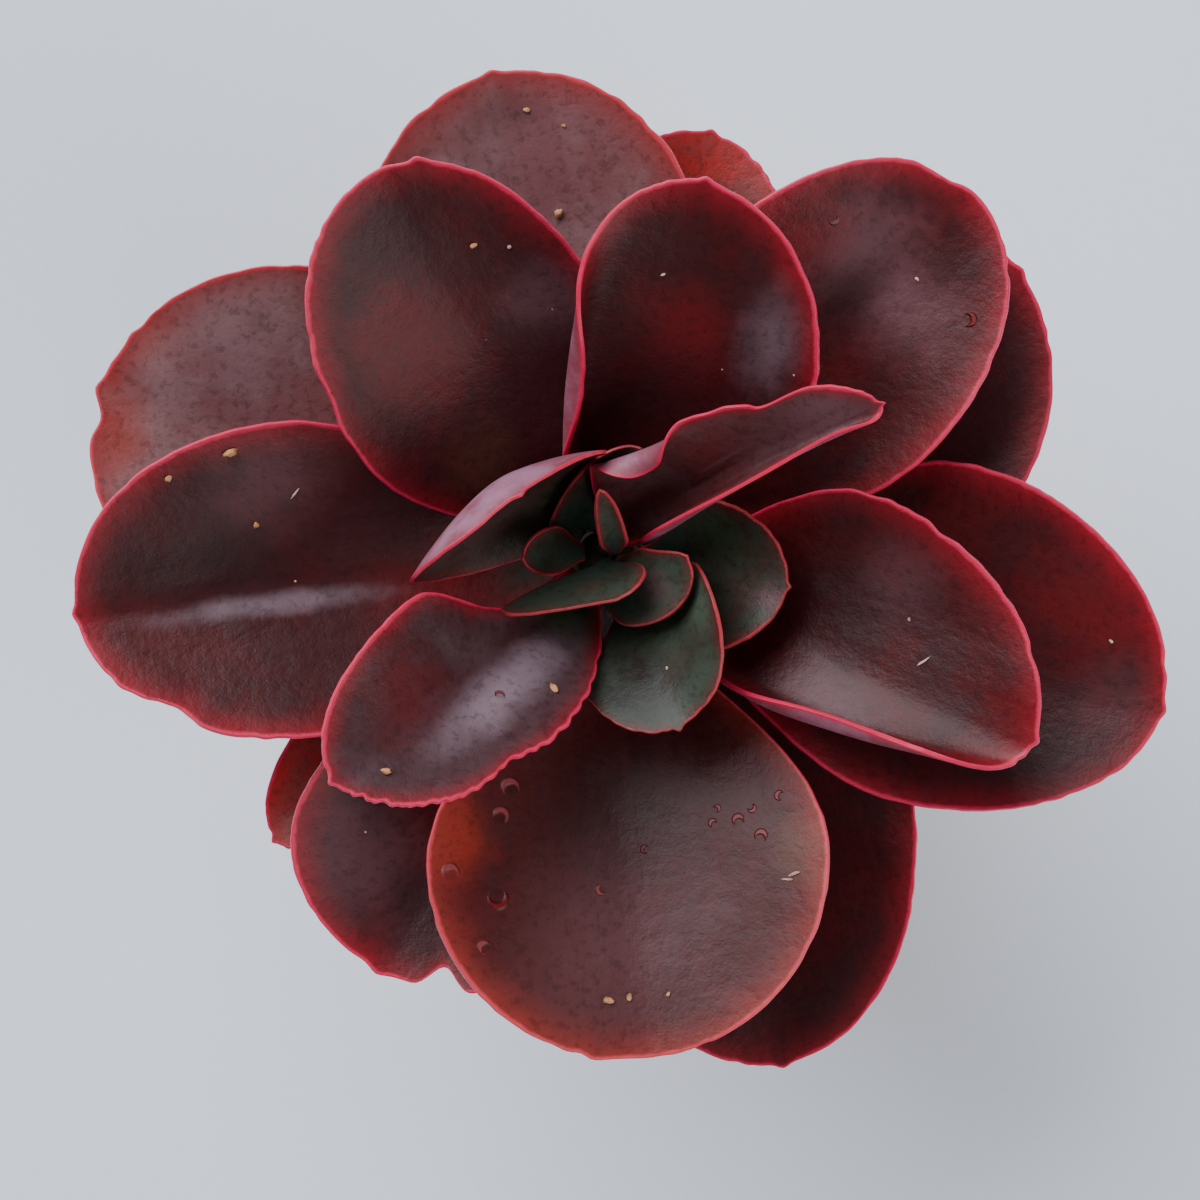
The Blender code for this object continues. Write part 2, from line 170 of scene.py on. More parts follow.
class Bench:
    """The bench that one finish is put together on: a material and its nodes."""

    def __init__(self, name: str) -> None:
        """Starts a material with no nodes.

        Args:
            name: The material's name.
        """
        self.material = bpy.data.materials.new(name)
        self.material.use_nodes = True
        self.tree = self.material.node_tree
        self.tree.nodes.clear()

    def node(self, kind: str, settings: dict, sockets: dict, output: str | int = 0) -> Wire:
        """Adds a node.

        Args:
            kind: The node's type.
            settings: Its properties, which are set first.
            sockets: Values or wires for its inputs, by name or number.
            output: The name or number of the output that is wanted.

        Returns:
            The wire from that output.
        """
        node = self.tree.nodes.new(kind)
        for key, value in settings.items():
            setattr(node, key, value)
        for key, value in sockets.items():
            socket = node.inputs[key]
            if isinstance(value, Wire):
                self.tree.links.new(value.socket, socket)
            else:
                socket.default_value = value
        return Wire(self, node.outputs[output])

    def place(self) -> Wire:
        """Returns the place on the piece, in metres."""
        return self.node("ShaderNodeTexCoord", {}, {}, "Object")

    def layer(self, name: str) -> Wire:
        """Returns a number that the piece's own mesh carries."""
        return self.node("ShaderNodeAttribute", {"attribute_name": name}, {}, "Fac")

    def height(self) -> Wire:
        """Returns the height above the ground, in metres."""
        return self.node("ShaderNodeSeparateXYZ", {}, {"Vector": self.place()}, "Z")

    def joined(self, x: Wire | float, y: Wire | float, z: Wire | float) -> Wire:
        """Returns the three numbers as one place."""
        return self.node("ShaderNodeCombineXYZ", {}, {"X": x, "Y": y, "Z": z})

    def clouds(self, size: float, detail: float, rough: float, place: Wire | None = None) -> Wire:
        """Returns soft noise.

        Args:
            size: The width of its patches, in the units of the place.
            detail: How many finer layers it has.
            rough: How strong the finer layers are.
            place: Where it is read, or None for the place on the piece.

        Returns:
            The noise, from 0 to 1 and mostly near 0.5.
        """
        where = {"Vector": place or self.place(), "Scale": 1 / size}
        sockets = {**where, "Detail": detail, "Roughness": rough}
        return self.node("ShaderNodeTexNoise", {}, sockets, "Fac")

    def dots(self, size: float, radius: float, share: float) -> Wire:
        """Returns scattered round dots.

        Args:
            size: The width of the cells, each of which may hold one dot.
            radius: The dots' radius, as a share of the cell.
            share: The share of the cells that hold a dot.

        Returns:
            1 on a dot and 0 off it.
        """
        sockets = {"Vector": self.place(), "Scale": 1 / size}
        distance = self.node("ShaderNodeTexVoronoi", {}, sockets, "Distance")
        colour = Wire(self, distance.socket.node.outputs["Color"])
        chance = self.node("ShaderNodeSeparateColor", {}, {"Color": colour}, "Red")
        return distance.fade(radius, radius * 0.6) * chance.fade(share + 0.01, share)

    def blend(self, share: Wire, first: Wire | Tint, last: Wire | Tint) -> Wire:
        """Lays one colour over another.

        Args:
            share: How much of the last colour shows.
            first: The colour below.
            last: The colour on top.

        Returns:
            The blended colour.
        """
        settings = {"data_type": "RGBA", "blend_type": "MIX", "clamp_factor": True}
        sockets = {0: share}
        for number, colour in ((6, first), (7, last)):
            sockets[number] = colour if isinstance(colour, Wire) else (*colour, 1)
        return self.node("ShaderNodeMix", settings, sockets, 2)

    def finish(
        self, colour: Wire, roughness: Wire, relief: Wire, depth: float, specular: float,
    ) -> bpy.types.Material:
        """Completes the material.

        Args:
            colour: The colour over the surface.
            roughness: The roughness over the surface.
            relief: The height over the surface, which only the light sees.
            depth: What 1 of the relief measures, in metres.
            specular: How strongly the surface mirrors, the same all over it.

        Returns:
            The finished material.
        """
        bump = {"Height": relief, "Distance": depth, "Strength": 1.0}
        normal = self.node("ShaderNodeBump", {}, bump, "Normal")
        look = {"Base Color": colour, "Roughness": roughness, "Normal": normal}
        shader = self.node(
            "ShaderNodeBsdfPrincipled", {}, {**look, "Specular IOR Level": specular}, "BSDF")
        output = self.tree.nodes.new("ShaderNodeOutputMaterial")
        self.tree.links.new(shader.socket, output.inputs["Surface"])
        return self.material


class Paint(Enum):
    """The colours laid on the blades in places: some the leaves' own, some painted highlight, sheen and
    shade.
    """

    # Partly the leaves' real waxy bloom, partly painted sheen where the glossy skin catches the lamps.
    WAX = tint(104, 72, 78)
    # Painted highlight: the lamps' shine on the glossy skin.
    SHEEN = tint(136, 116, 126)
    RED = tint(112, 14, 20)
    # Partly the leaves' own dark tone, partly painted shade in folds, along the midrib and under
    # overlapping leaves.
    DARK = tint(22, 8, 10)
    ORANGE = tint(150, 46, 30)
    OLIVE = tint(92, 62, 44)
    SAGE = tint(74, 86, 72)
    LEAF = tint(50, 66, 46)
    SCAR = tint(140, 62, 66)


@dataclass(frozen=True)
class StainOrPaintedLight:
    """A soft-edged patch of colour on a blade. Some are blotches of the leaf's own colour, some painted
    highlight and sheen, some painted shade.

    It lies a share of the way along the leaf and some millimetres to the left of the midrib. Its
    size is its radius in millimetres, and it is as many times longer than wide as its stretch.
    """

    along: float
    across: float
    size: float
    paint: Paint
    share: float = 0.5
    stretch: float = 1.0


@dataclass(frozen=True)
class Scar:
    """A small crescent scar.

    Its place is given as a soft-edged patch's is. Its size is its radius and its horns say where they
    point, across and along the leaf, all in millimetres.
    """

    along: float
    across: float
    size: float
    horns: Pair = (0.5, 0.4)
    paint: Paint = Paint.SCAR


class Skin:
    """A leaf's skin on the bench: the numbers its mesh carries and the noises that mottle it."""

    def __init__(self, leaf: LeafSize) -> None:
        """Starts the leaf's material.

        Args:
            leaf: The leaf's sizes, its scars, and its patches of own colour, painted highlight and
                painted shade.
        """
        self.leaf = leaf
        self.bench = Bench(f"{leaf.name}_skin")
        layers = ("rim", "along", "across", "upper")
        self.rim, self.along, self.across, self.upper = (self.bench.layer(name) for name in layers)
        self.drift = self.bench.clouds(30 * MM, 3, 0.55)
        self.patches = self.bench.clouds(9 * MM, 4, 0.6)
        self.fine = self.bench.clouds(1.5 * MM, 3, 0.65)
        self.grain = self.bench.clouds(0.35 * MM, 2, 0.5)
        combed = self.bench.joined(self.across * 0.30, self.along * 1.6, self.drift * 1.5)
        self.streaks = self.bench.clouds(1.0, 3, 0.5, combed)

    def gap(self, along: float, across: float, size: float, stretch: float = 1.0) -> Wire:
        """Measures how far every point of the leaf is from one place on it.

        Args:
            along: The place's share of the way along the leaf.
            across: Its distance to the left of the midrib, in millimetres.
            size: The radius to measure with, in millimetres.
            stretch: How many times longer than wide that radius reaches.

        Returns:
            The distance, in radiuses.
        """
        lengthways = (self.along - along) * (self.leaf.length / MM / size / stretch)
        sideways = (self.across - across) / size
        return (lengthways * lengthways + sideways * sideways) ** 0.5

    def stained_and_lit(self, colour: Wire) -> Wire:
        """Lays the leaf's soft-edged patches on a colour: blotches of its own colour, painted highlight
        and sheen, and painted shade.

        Args:
            colour: The colour.

        Returns:
            The colour with the patches laid on.
        """
        # The patches lay the leaf's own blotches, painted highlight and sheen, and painted shade.
        for stain_or_light in self.leaf.stains_and_painted_light:
            away = self.gap(stain_or_light.along, stain_or_light.across, stain_or_light.size, stain_or_light.stretch)
            near = (away + (self.patches - 0.5) * 1.1).fade(1.15, 0.1)
            colour = self.bench.blend(near * stain_or_light.share, colour, stain_or_light.paint.value)
        return colour

    def scarred(self, colour: Wire, dark: Tint) -> tuple[Wire, Wire | float]:
        """Lays the leaf's crescent scars on a colour, each with a little painted shadow over its whole
        round.

        Args:
            colour: The colour.
            dark: The colour of the painted shadow that darkens each scar's whole round.

        Returns:
            The scarred colour, and how much the scars are raised.
        """
        raised = 0.0
        for scar in self.leaf.scars:
            across_horns, along_horns = scar.horns
            whole = self.gap(scar.along, scar.across, scar.size).fade(1.0, 0.75)
            bite_along = scar.along + along_horns * MM / self.leaf.length
            bite = self.gap(bite_along, scar.across + across_horns, scar.size * 0.85)
            crescent = whole * bite.fade(0.7, 1.0)
            # Painted shadow: a little shade laid over the scar's whole round.
            colour = self.bench.blend(whole * 0.2, colour, dark)
            colour = self.bench.blend(crescent * 0.7, colour, scar.paint.value)
            raised = crescent * 0.3 + raised
        return colour, raised


@dataclass(frozen=True)
class BladeFinish:
    """The skin of a leaf: its colour, its waxy bloom, its flushed margin and its paler underside.

    The widths of the edge and of the glow beside it are in millimetres. The glow is partly the leaf's own
    red and partly painted glow of light shining through the thin margin.
    """

    deep: Tint
    bloom: Tint
    bloom_share: float
    flush: Tint
    flush_share: float
    edge: Tint = tint(200, 38, 74)
    edge_width: float = 0.55
    glow: Tint = tint(138, 20, 34)
    glow_width: float = 7.0
    glow_share: float = 0.9
    young: Tint = tint(40, 38, 34)
    young_reach: float = 0.12
    underside: Tint = tint(134, 78, 92)
    under_bloom: Tint = tint(156, 112, 134)
    roughness: float = 0.38
    specular: float = 0.24
    depth: float = 1.0 * MM
    speck: Tint = tint(20, 9, 10)
    speck_pitch: float = 4.1 * MM
    crumb: Tint = tint(196, 170, 150)
    crumb_pitch: float = 5.3 * MM

    def ground(self, skin: Skin, bloom: Wire) -> Wire:
        """Colours the upper face, younger at the foot and blotched by flush and bloom.

        Args:
            skin: The leaf's skin.
            bloom: How thick the bloom is over the surface.

        Returns:
            The colour.
        """
        bench = skin.bench
        flush = (skin.drift * 0.5 + skin.patches * 0.5).fade(0.56, 0.40) * self.flush_share
        colour = bench.blend(flush, self.deep, self.flush)
        colour = bench.blend(bloom, colour, self.bloom)
        foot = skin.along + (skin.patches - 0.5) * 0.16
        young = foot.fade(self.young_reach * 1.8, self.young_reach * 0.3)
        return bench.blend(young, colour, self.young)

    def flecked(self, skin: Skin, colour: Wire) -> Wire:
        """Lays fine dark mottling on a colour, dark specks where it is worn, and dust.

        Args:
            skin: The leaf's skin.
            colour: The colour.

        Returns:
            The flecked colour.
        """
        bench = skin.bench
        colour = bench.blend(skin.fine.fade(0.50, 0.34) * 0.28, colour, self.speck)
        worn = bench.clouds(14 * MM, 2, 0.5).fade(0.44, 0.60)
        specks = bench.dots(self.speck_pitch, 0.09, 0.12) * worn
        colour = bench.blend(specks * 0.6, colour, self.speck)
        return bench.blend(bench.dots(self.crumb_pitch, 0.045, 0.14) * 0.8, colour, self.crumb)

    def make(self, leaf: LeafSize) -> bpy.types.Material:
        """Makes the material for one leaf.

        Args:
            leaf: The leaf's sizes, scars and soft-edged patches, some of them painted highlight and
                painted shade.

        Returns:
            The finished material.
        """
        skin = Skin(leaf)
        bench = skin.bench
        bloom = (skin.drift * 0.6 + skin.patches * 0.4).fade(0.42, 0.62) * self.bloom_share
        near_rim = (1 - (skin.rim + (skin.patches - 0.5) * 3.0) / self.glow_width).held()

        face = skin.stained_and_lit(self.ground(skin, bloom))
        face = bench.blend(skin.streaks.fade(0.48, 0.68) * 0.14, face, self.bloom)
        # Red glow inside the margin: partly the leaf's own red, partly painted glow of light shining
        # through the thin margin.
        face = bench.blend(near_rim ** 2.2 * self.glow_share, face, self.glow)
        face, raised = skin.scarred(self.flecked(skin, face), self.speck)

        back = bench.blend(skin.patches.fade(0.40, 0.66) * 0.8, self.underside, self.under_bloom)
        # The same red glow on the underside, partly painted glow of light shining through the margin.
        back = bench.blend(near_rim * near_rim * 0.5, back, self.glow)
        colour = bench.blend(skin.upper.fade(0.30, 0.65), back, face)
        edge = (skin.rim + (skin.fine - 0.5) * 0.7 + (skin.patches - 0.5) * 0.6) / self.edge_width
        colour = bench.blend(edge.fade(1.5, 0.3), colour, self.edge)

        rough = self.roughness + bloom * 0.10 + (skin.fine - 0.5) * 0.16 + (skin.grain - 0.5) * 0.10
        soft = skin.patches * 0.30 + skin.streaks * 0.10
        relief = soft + skin.fine * 0.08 + skin.grain * 0.03 + raised
        return bench.finish(colour, rough, relief, self.depth, self.specular)


class BladeTone(Enum):
    """The skins that the plant's leaves have, from the outermost to those at the middle."""

    FLUSHED = BladeFinish(
        deep=tint(112, 34, 32), bloom=tint(128, 72, 68), bloom_share=0.5, flush=tint(160, 28, 24),
        flush_share=0.8, glow=tint(160, 26, 28),
    )
    MAUVE = BladeFinish(
        deep=tint(108, 66, 66), bloom=tint(132, 98, 99), bloom_share=0.85, flush=tint(118, 52, 50),
        flush_share=0.4, edge=tint(194, 52, 66), glow=tint(136, 40, 42), glow_width=8.0,
    )
    RUSSET = BladeFinish(
        deep=tint(60, 21, 22), bloom=tint(88, 40, 40), bloom_share=0.45, flush=tint(84, 20, 20),
        flush_share=0.5, edge=tint(200, 62, 74), glow=tint(140, 46, 40), glow_width=8.0,
    )
    BURGUNDY = BladeFinish(
        deep=tint(52, 12, 14), bloom=tint(66, 28, 32), bloom_share=0.35, flush=tint(76, 13, 16),
        flush_share=0.7,
    )
    DUSKY = BladeFinish(
        deep=tint(78, 42, 44), bloom=tint(100, 64, 68), bloom_share=0.6, flush=tint(90, 36, 38),
        flush_share=0.5, young=tint(70, 32, 32), glow_width=3.5,
    )
    SILVERED = BladeFinish(
        deep=tint(56, 28, 31), bloom=tint(80, 58, 63), bloom_share=0.6, flush=tint(68, 28, 30),
        flush_share=0.6, young=tint(32, 42, 33), young_reach=0.16, glow_width=5.0,
    )
    HEART = BladeFinish(
        deep=tint(62, 42, 40), bloom=tint(84, 58, 58), bloom_share=0.5, flush=tint(74, 34, 34),
        flush_share=0.6, edge=tint(196, 48, 76), edge_width=0.35, glow=tint(120, 30, 36),
        glow_width=3.5, young=tint(56, 62, 50), young_reach=0.3,
    )
    GREEN = BladeFinish(
        deep=tint(44, 54, 44), bloom=tint(72, 78, 66), bloom_share=0.5, flush=tint(66, 34, 32),
        flush_share=0.6, edge=tint(160, 52, 60), edge_width=0.22, glow=tint(100, 34, 36),
        glow_width=2.6, young=tint(44, 62, 52), young_reach=0.35, underside=tint(56, 62, 46),
        under_bloom=tint(88, 84, 70),
    )


@dataclass(frozen=True)
class StemShape:
    """The stem's place and outline, which the leaves leave it by."""

    axis: Vector = field(default_factory=lambda: Vector((-2.3 * MM, 2.3 * MM, 0)))
    bend: Vector = field(default_factory=lambda: Vector((0.2 * MM, 2.2 * MM, 0)))
    bend_from: float = 112 * MM
    foot: float = 62 * MM
    profile: tuple[Pair, ...] = (
        (62, 6.0), (88, 7.2), (100, 7.4), (110, 6.4), (118, 5.0), (122, 4.0), (125, 2.7),
        (128, 1.6), (131, 1.1), (132, 0.7),
    )

    @property
    def top(self) -> float:
        """The height of the stem's tip."""
        return self.profile[-1][0] * MM

    def radius(self, height: float) -> float:
        """Returns the stem's radius at a height above the ground."""
        return through(self.profile, height / MM) * MM

    def middle(self, height: float) -> Vector:
        """Returns the middle of the stem at a height: straight below, bending over near its tip."""
        return self.axis + self.bend * ease((height - self.bend_from) / (self.top - self.bend_from))


@dataclass(frozen=True)
class LeafSize:
    """One leaf, by sizes that could be read off it with a rule and a protractor.

    Pairs give the left half and the right half, looking from the stem to the tip. Each cut is a
    bearing round the margin from the tip, positive to the left, with its depth and its spread.
    The seat is the bearing of the foot round the stem, where it isn't the leaf's heading.
    """

    name: str
    heading: float
    length: float
    width: float
    rise: tuple[float, float, float]
    place: float
    tone: BladeTone = BladeTone.BURGUNDY
    teeth: float = 0.5 * MM
    tooth_pitch: float = 3.0 * MM
    scallop: Pair = (0.0, 0.0)
    widest: float = 0.57
    blunt: float = 2.0
    waist: Pair = (1.6, 1.6)
    foot: float = 13 * MM
    thick: float = 3.4 * MM
    seat: float | None = None
    swerve: float = 0.0
    lean: float = 0.0
    fold: Pair = (5.0, 5.0)
    halves: Pair = (1.0, 1.0)
    cup: Pair = (22.0, 22.0)
    curl: Pair = (0.0, 0.0)
    curl_at: float = 0.45
    curl_reach: float = 0.45
    curl_band: float = 0.5
    wave: float = 0.0
    waves: float = 2.5
    point: float = 1.1 * MM
    point_at: float = 0.0
    cuts: tuple[tuple[float, float, float], ...] = ()
    cells: int = 58
    # Soft-edged patches: the leaf's own blotches, painted highlight and sheen, and painted shade.
    stains_and_painted_light: tuple[StainOrPaintedLight, ...] = ()
    scars: tuple[Scar, ...] = ()


def leaf_table() -> list[LeafSize]:
    """Returns the leaves, from the outermost to those at the middle."""
    green = {"tone": BladeTone.GREEN}
    small = {**green, "cells": 26, "thick": 1.9 * MM, "point": 0.5 * MM, "teeth": 0.18 * MM}
    # Among each leaf's patches, the pale waxy ones are partly painted sheen, the palest are painted
    # highlight, and the darkest are partly painted shade in folds and under overlapping leaves.
    return [
        LeafSize("leaf_01", 220, 66 * MM, 28 * MM, (2, 3, 6), 0, BladeTone.FLUSHED, lean=-12),
        LeafSize("leaf_02", 76, 68 * MM, 42 * MM, (5, 5, 8), 1, BladeTone.FLUSHED,
                 stains_and_painted_light=(StainOrPaintedLight(0.9, 14, 9, Paint.ORANGE, 0.6),)),
        LeafSize("leaf_03", 297, 83 * MM, 65 * MM, (4, 5, 8), 2, swerve=-16, widest=0.53, blunt=1.5,
                 halves=(1.05, 0.95)),
        LeafSize("leaf_04", 161, 82.5 * MM, 67 * MM, (7, 7, 10), 3, BladeTone.MAUVE, widest=0.53,
                 cuts=((10, 1.5 * MM, 5),),
                 stains_and_painted_light=(StainOrPaintedLight(0.96, 7, 10, Paint.ORANGE, 0.7), StainOrPaintedLight(0.96, -12, 10, Paint.ORANGE, 0.5),
                         StainOrPaintedLight(0.76, -8, 20, Paint.WAX, 0.45))),
        LeafSize("leaf_05", 35, 78 * MM, 64 * MM, (8, 8, 12), 4, teeth=0.55 * MM, blunt=1.9,
                 halves=(0.95, 1.04), cup=(22, 12),
                 stains_and_painted_light=(StainOrPaintedLight(0.95, 6, 7, Paint.WAX, 0.4),)),
        LeafSize("leaf_06", 241, 71 * MM, 52 * MM, (9, 9, 14), 5, widest=0.70, blunt=2.4,
                 cuts=((22, 4.5 * MM, 5),),
                 stains_and_painted_light=(StainOrPaintedLight(0.80, -13, 14, Paint.WAX, 0.45), StainOrPaintedLight(0.81, 0, 8, Paint.DARK, 0.5))),
        LeafSize("leaf_07", 103, 76.5 * MM, 59 * MM, (10, 11, 14), 6, BladeTone.MAUVE, widest=0.58,
                 stains_and_painted_light=(StainOrPaintedLight(0.79, -4, 24, Paint.WAX, 0.5), StainOrPaintedLight(0.95, 0, 8, Paint.DARK, 0.4),
                         StainOrPaintedLight(0.89, 18, 10, Paint.RED, 0.4))),
        LeafSize("leaf_08", 345, 88.5 * MM, 63 * MM, (11, 12, 16), 7, blunt=1.8, halves=(1.02, 0.84),
                 stains_and_painted_light=(StainOrPaintedLight(0.82, 15, 14, Paint.RED, 0.4), StainOrPaintedLight(0.92, 0, 9, Paint.WAX, 0.2),
                         StainOrPaintedLight(0.75, -14, 10, Paint.DARK, 0.4))),
        LeafSize("leaf_09", 182, 81 * MM, 56 * MM, (16, 15, 15), 8, swerve=8,
                 fold=(12, 12), halves=(0.97, 1.0), cuts=((50, 3.0 * MM, 8),),
                 stains_and_painted_light=(StainOrPaintedLight(0.75, -5, 11, Paint.DARK, 0.65, 1.6), StainOrPaintedLight(0.30, 7, 14, Paint.RED, 0.4),
                         StainOrPaintedLight(0.60, -19, 12, Paint.WAX, 0.35),
                         StainOrPaintedLight(0.62, 3.2, 2.6, Paint.SHEEN, 0.5, 9))),
        LeafSize("leaf_10", 45, 80 * MM, 54 * MM, (20, 18, 18), 9.3, halves=(0.92, 0.95), point=0,
                 cuts=((14, 1.0 * MM, 10),),
                 stains_and_painted_light=(StainOrPaintedLight(0.78, 6, 12, Paint.WAX, 0.5), StainOrPaintedLight(0.75, -6, 11, Paint.WAX, 0.45),
                         StainOrPaintedLight(0.69, 2.4, 5, Paint.DARK, 0.55, 2), StainOrPaintedLight(0.71, 15, 9, Paint.RED, 0.4)),
                 scars=(Scar(0.77, 12.9, 1.0, (0.4, 0.1), Paint.WAX),
                        Scar(0.82, -14.3, 1.3, (0.4, -0.5), Paint.RED))),
        LeafSize("leaf_11", 274.5, 76 * MM, 67 * MM, (18, 15, 16), 10.2, BladeTone.RUSSET, widest=0.59,
                 point_at=-15,
                 stains_and_painted_light=(StainOrPaintedLight(0.75, -2, 22, Paint.WAX, 0.3), StainOrPaintedLight(0.52, -30, 10, Paint.ORANGE, 0.6),
                         StainOrPaintedLight(0.60, 31, 8, Paint.OLIVE, 0.6), StainOrPaintedLight(0.44, 0, 19, Paint.DARK, 0.55)),
                 scars=(Scar(0.41, -18.7, 1.7, (0.2, 0.8)), Scar(0.47, -20.5, 1.5, (-0.3, 0.7)),
                        Scar(0.59, -29.6, 1.6, (0.1, 0.8)), Scar(0.64, -4.8, 1.0, (0.5, -0.2)),
                        Scar(0.65, -21.9, 1.9, (-0.2, -0.7), Paint.RED), Scar(0.75, -24.8, 1.2),
                        Scar(0.52, 14.7, 0.8, (0.3, 0.4)), Scar(0.49, 15.7, 0.7, (-0.4, 0.2)),
                        Scar(0.52, 19.0, 1.1, (0.1, 0.6)), Scar(0.50, 21.5, 0.8, (-0.3, -0.4)),
                        Scar(0.56, 22.6, 1.2, (-0.2, 0.6)), Scar(0.48, 26.2, 0.9, (0.5, 0.2)),
                        Scar(0.56, 3.1, 0.8, (0.4, 0.1), Paint.RED))),
        LeafSize("leaf_12", 121.5, 71 * MM, 49 * MM, (30, 28, 25), 11.2, widest=0.50, blunt=2.2,
                 waist=(1.3, 1.3), halves=(1.05, 0.93), foot=11 * MM, thick=3.0 * MM, point_at=-24,
                 stains_and_painted_light=(StainOrPaintedLight(0.56, -15, 9, Paint.WAX, 0.5), StainOrPaintedLight(0.90, -1, 11, Paint.DARK, 0.35),
                         StainOrPaintedLight(0.62, 8, 14, Paint.RED, 0.45), StainOrPaintedLight(0.30, 9, 9, Paint.OLIVE, 0.35))),
        LeafSize("leaf_13", 337, 74.5 * MM, 50 * MM, (34, 30, 26), 12.2, widest=0.52, blunt=1.6,
                 waist=(1.6, 2.2), halves=(1.1, 0.64), cup=(25, 30), curl=(0, 105), curl_at=0.60,
                 curl_reach=0.55, foot=11 * MM, thick=3.0 * MM, wave=0.8 * MM, waves=5,
                 stains_and_painted_light=(StainOrPaintedLight(0.47, 8, 13, Paint.DARK, 0.5), StainOrPaintedLight(0.62, 16, 9, Paint.WAX, 0.25),
                         StainOrPaintedLight(0.56, -6.5, 6, Paint.WAX, 0.5, 2), StainOrPaintedLight(0.92, 1, 7, Paint.RED, 0.35))),
        LeafSize("leaf_14", 75, 66 * MM, 47 * MM, (42, 38, 34), 13.4, halves=(0.81, 1.1),
                 waist=(0.8, 1.6), curl=(125, 0), curl_at=0.45, curl_reach=0.5, foot=9 * MM,
                 thick=2.8 * MM,
                 stains_and_painted_light=(StainOrPaintedLight(0.62, -2, 11, Paint.RED, 0.5), StainOrPaintedLight(0.68, -17, 7, Paint.SHEEN, 0.35, 1.6),
                         StainOrPaintedLight(0.39, 5, 9, Paint.DARK, 0.4))),
        LeafSize("leaf_15", 351, 32 * MM, 26 * MM, (46, 48, 38), 14.4, foot=6.5 * MM, thick=2.4 * MM,
                 cup=(36, 25), waist=(1.6, 3.0),
                 stains_and_painted_light=(StainOrPaintedLight(0.30, 0, 6, Paint.DARK, 0.4), StainOrPaintedLight(0.60, 7, 6, Paint.LEAF, 0.8),
                         StainOrPaintedLight(0.93, -2.4, 4, Paint.WAX, 0.6)), **green),
        LeafSize("leaf_16", 293, 32.5 * MM, 37 * MM, (57, 48, 24), 15.65, foot=6 * MM, thick=2.2 * MM,
                 lean=-8, cup=(58, 5), waist=(1.0, 5.0), halves=(0.98, 0.62),
                 stains_and_painted_light=(StainOrPaintedLight(0.58, 14.6, 6, Paint.SAGE, 0.9), StainOrPaintedLight(0.40, 4.5, 4, Paint.SAGE, 0.6, 3),
                         StainOrPaintedLight(0.75, -5, 9, Paint.DARK, 0.6)), **green),
        LeafSize("leaf_17", 220, 63 * MM, 36 * MM, (50, 42, 32), 16.4, BladeTone.SILVERED,
                 scallop=(1.1 * MM, 0.2 * MM), cells=84, foot=6.5 * MM, thick=2.4 * MM,
                 fold=(14, 14), waist=(0.8, 7.0), halves=(1.05, 0.84), cuts=((73, 3.6 * MM, 8),),
                 stains_and_painted_light=(StainOrPaintedLight(0.48, 6.8, 5.5, Paint.SHEEN, 0.75, 4), StainOrPaintedLight(0.72, -4, 10, Paint.RED, 0.3),
                         StainOrPaintedLight(0.17, 4, 6, Paint.LEAF, 0.5)),
                 scars=(Scar(0.51, 6.7, 0.9, (0.3, 0.3), Paint.RED),)),
        LeafSize("leaf_18", 146, 40 * MM, 40 * MM, (30, 58, 130), 17.4, tone=BladeTone.HEART,
                 foot=6 * MM, thick=2.2 * MM, widest=0.66, lean=24, halves=(1.05, 0.86)),
        LeafSize("leaf_19", 33, 57 * MM, 28 * MM, (48, 42, 36), 20.5, tone=BladeTone.DUSKY,
                 foot=4.5 * MM, thick=1.9 * MM, swerve=-12, fold=(28, 75), halves=(1.2, 0.56),
                 waist=(1.0, 1.6), widest=0.27, blunt=0.95, wave=0.5 * MM, waves=6, curl=(165, 0),
                 curl_at=0.35, curl_reach=0.17, curl_band=0.37, cuts=((64, 5.2 * MM, 8),),
                 stains_and_painted_light=(StainOrPaintedLight(0.49, 4, 9, Paint.RED, 0.2), StainOrPaintedLight(0.85, 1, 7, Paint.WAX, 0.6),
                         StainOrPaintedLight(0.42, 1.6, 0.7, Paint.DARK, 0.6, 12),
                         StainOrPaintedLight(0.5, 3.2, 0.6, Paint.WAX, 0.5, 12))),
        LeafSize("leaf_20", 66, 21 * MM, 15 * MM, (35, 48, 54), 18.9, seat=117, foot=3.5 * MM,
                 swerve=-15, fold=(36, 0), halves=(1.28, 0.24), waist=(0.2, 1.6), widest=0.12,
                 blunt=2.3, **small),
        LeafSize("leaf_21", 186, 15 * MM, 9 * MM, (42, 52, 56), 20.3, foot=3 * MM, fold=(5, 20),
                 halves=(0.7, 1.2), **small),
        LeafSize("leaf_22", 322, 17.5 * MM, 15 * MM, (56, 48, 44), 22.4, foot=3.5 * MM, swerve=75,
                 halves=(0.45, 1.3), widest=0.42, blunt=1.4,
                 stains_and_painted_light=(StainOrPaintedLight(0.6, -3, 4, Paint.WAX, 0.5),), **small),
        LeafSize("leaf_23", 282, 15 * MM, 28 * MM, (68, 66, 62), 24.4, foot=3.5 * MM, lean=-6,
                 cup=(12, 0), waist=(1.2, 2.0), widest=0.65, halves=(0.40, 1.3),
                 stains_and_painted_light=(StainOrPaintedLight(0.75, 7, 4, Paint.SAGE, 0.6), StainOrPaintedLight(0.7, -4, 4, Paint.OLIVE, 0.3)),
                 **small),
        LeafSize("leaf_24", 104, 17.5 * MM, 6.5 * MM, (60, 58, 54), 26.4, seat=-30, foot=2.4 * MM,
                 fold=(34, 34), halves=(0.7, 0.9), widest=0.28, blunt=1.25, **small),
    ]


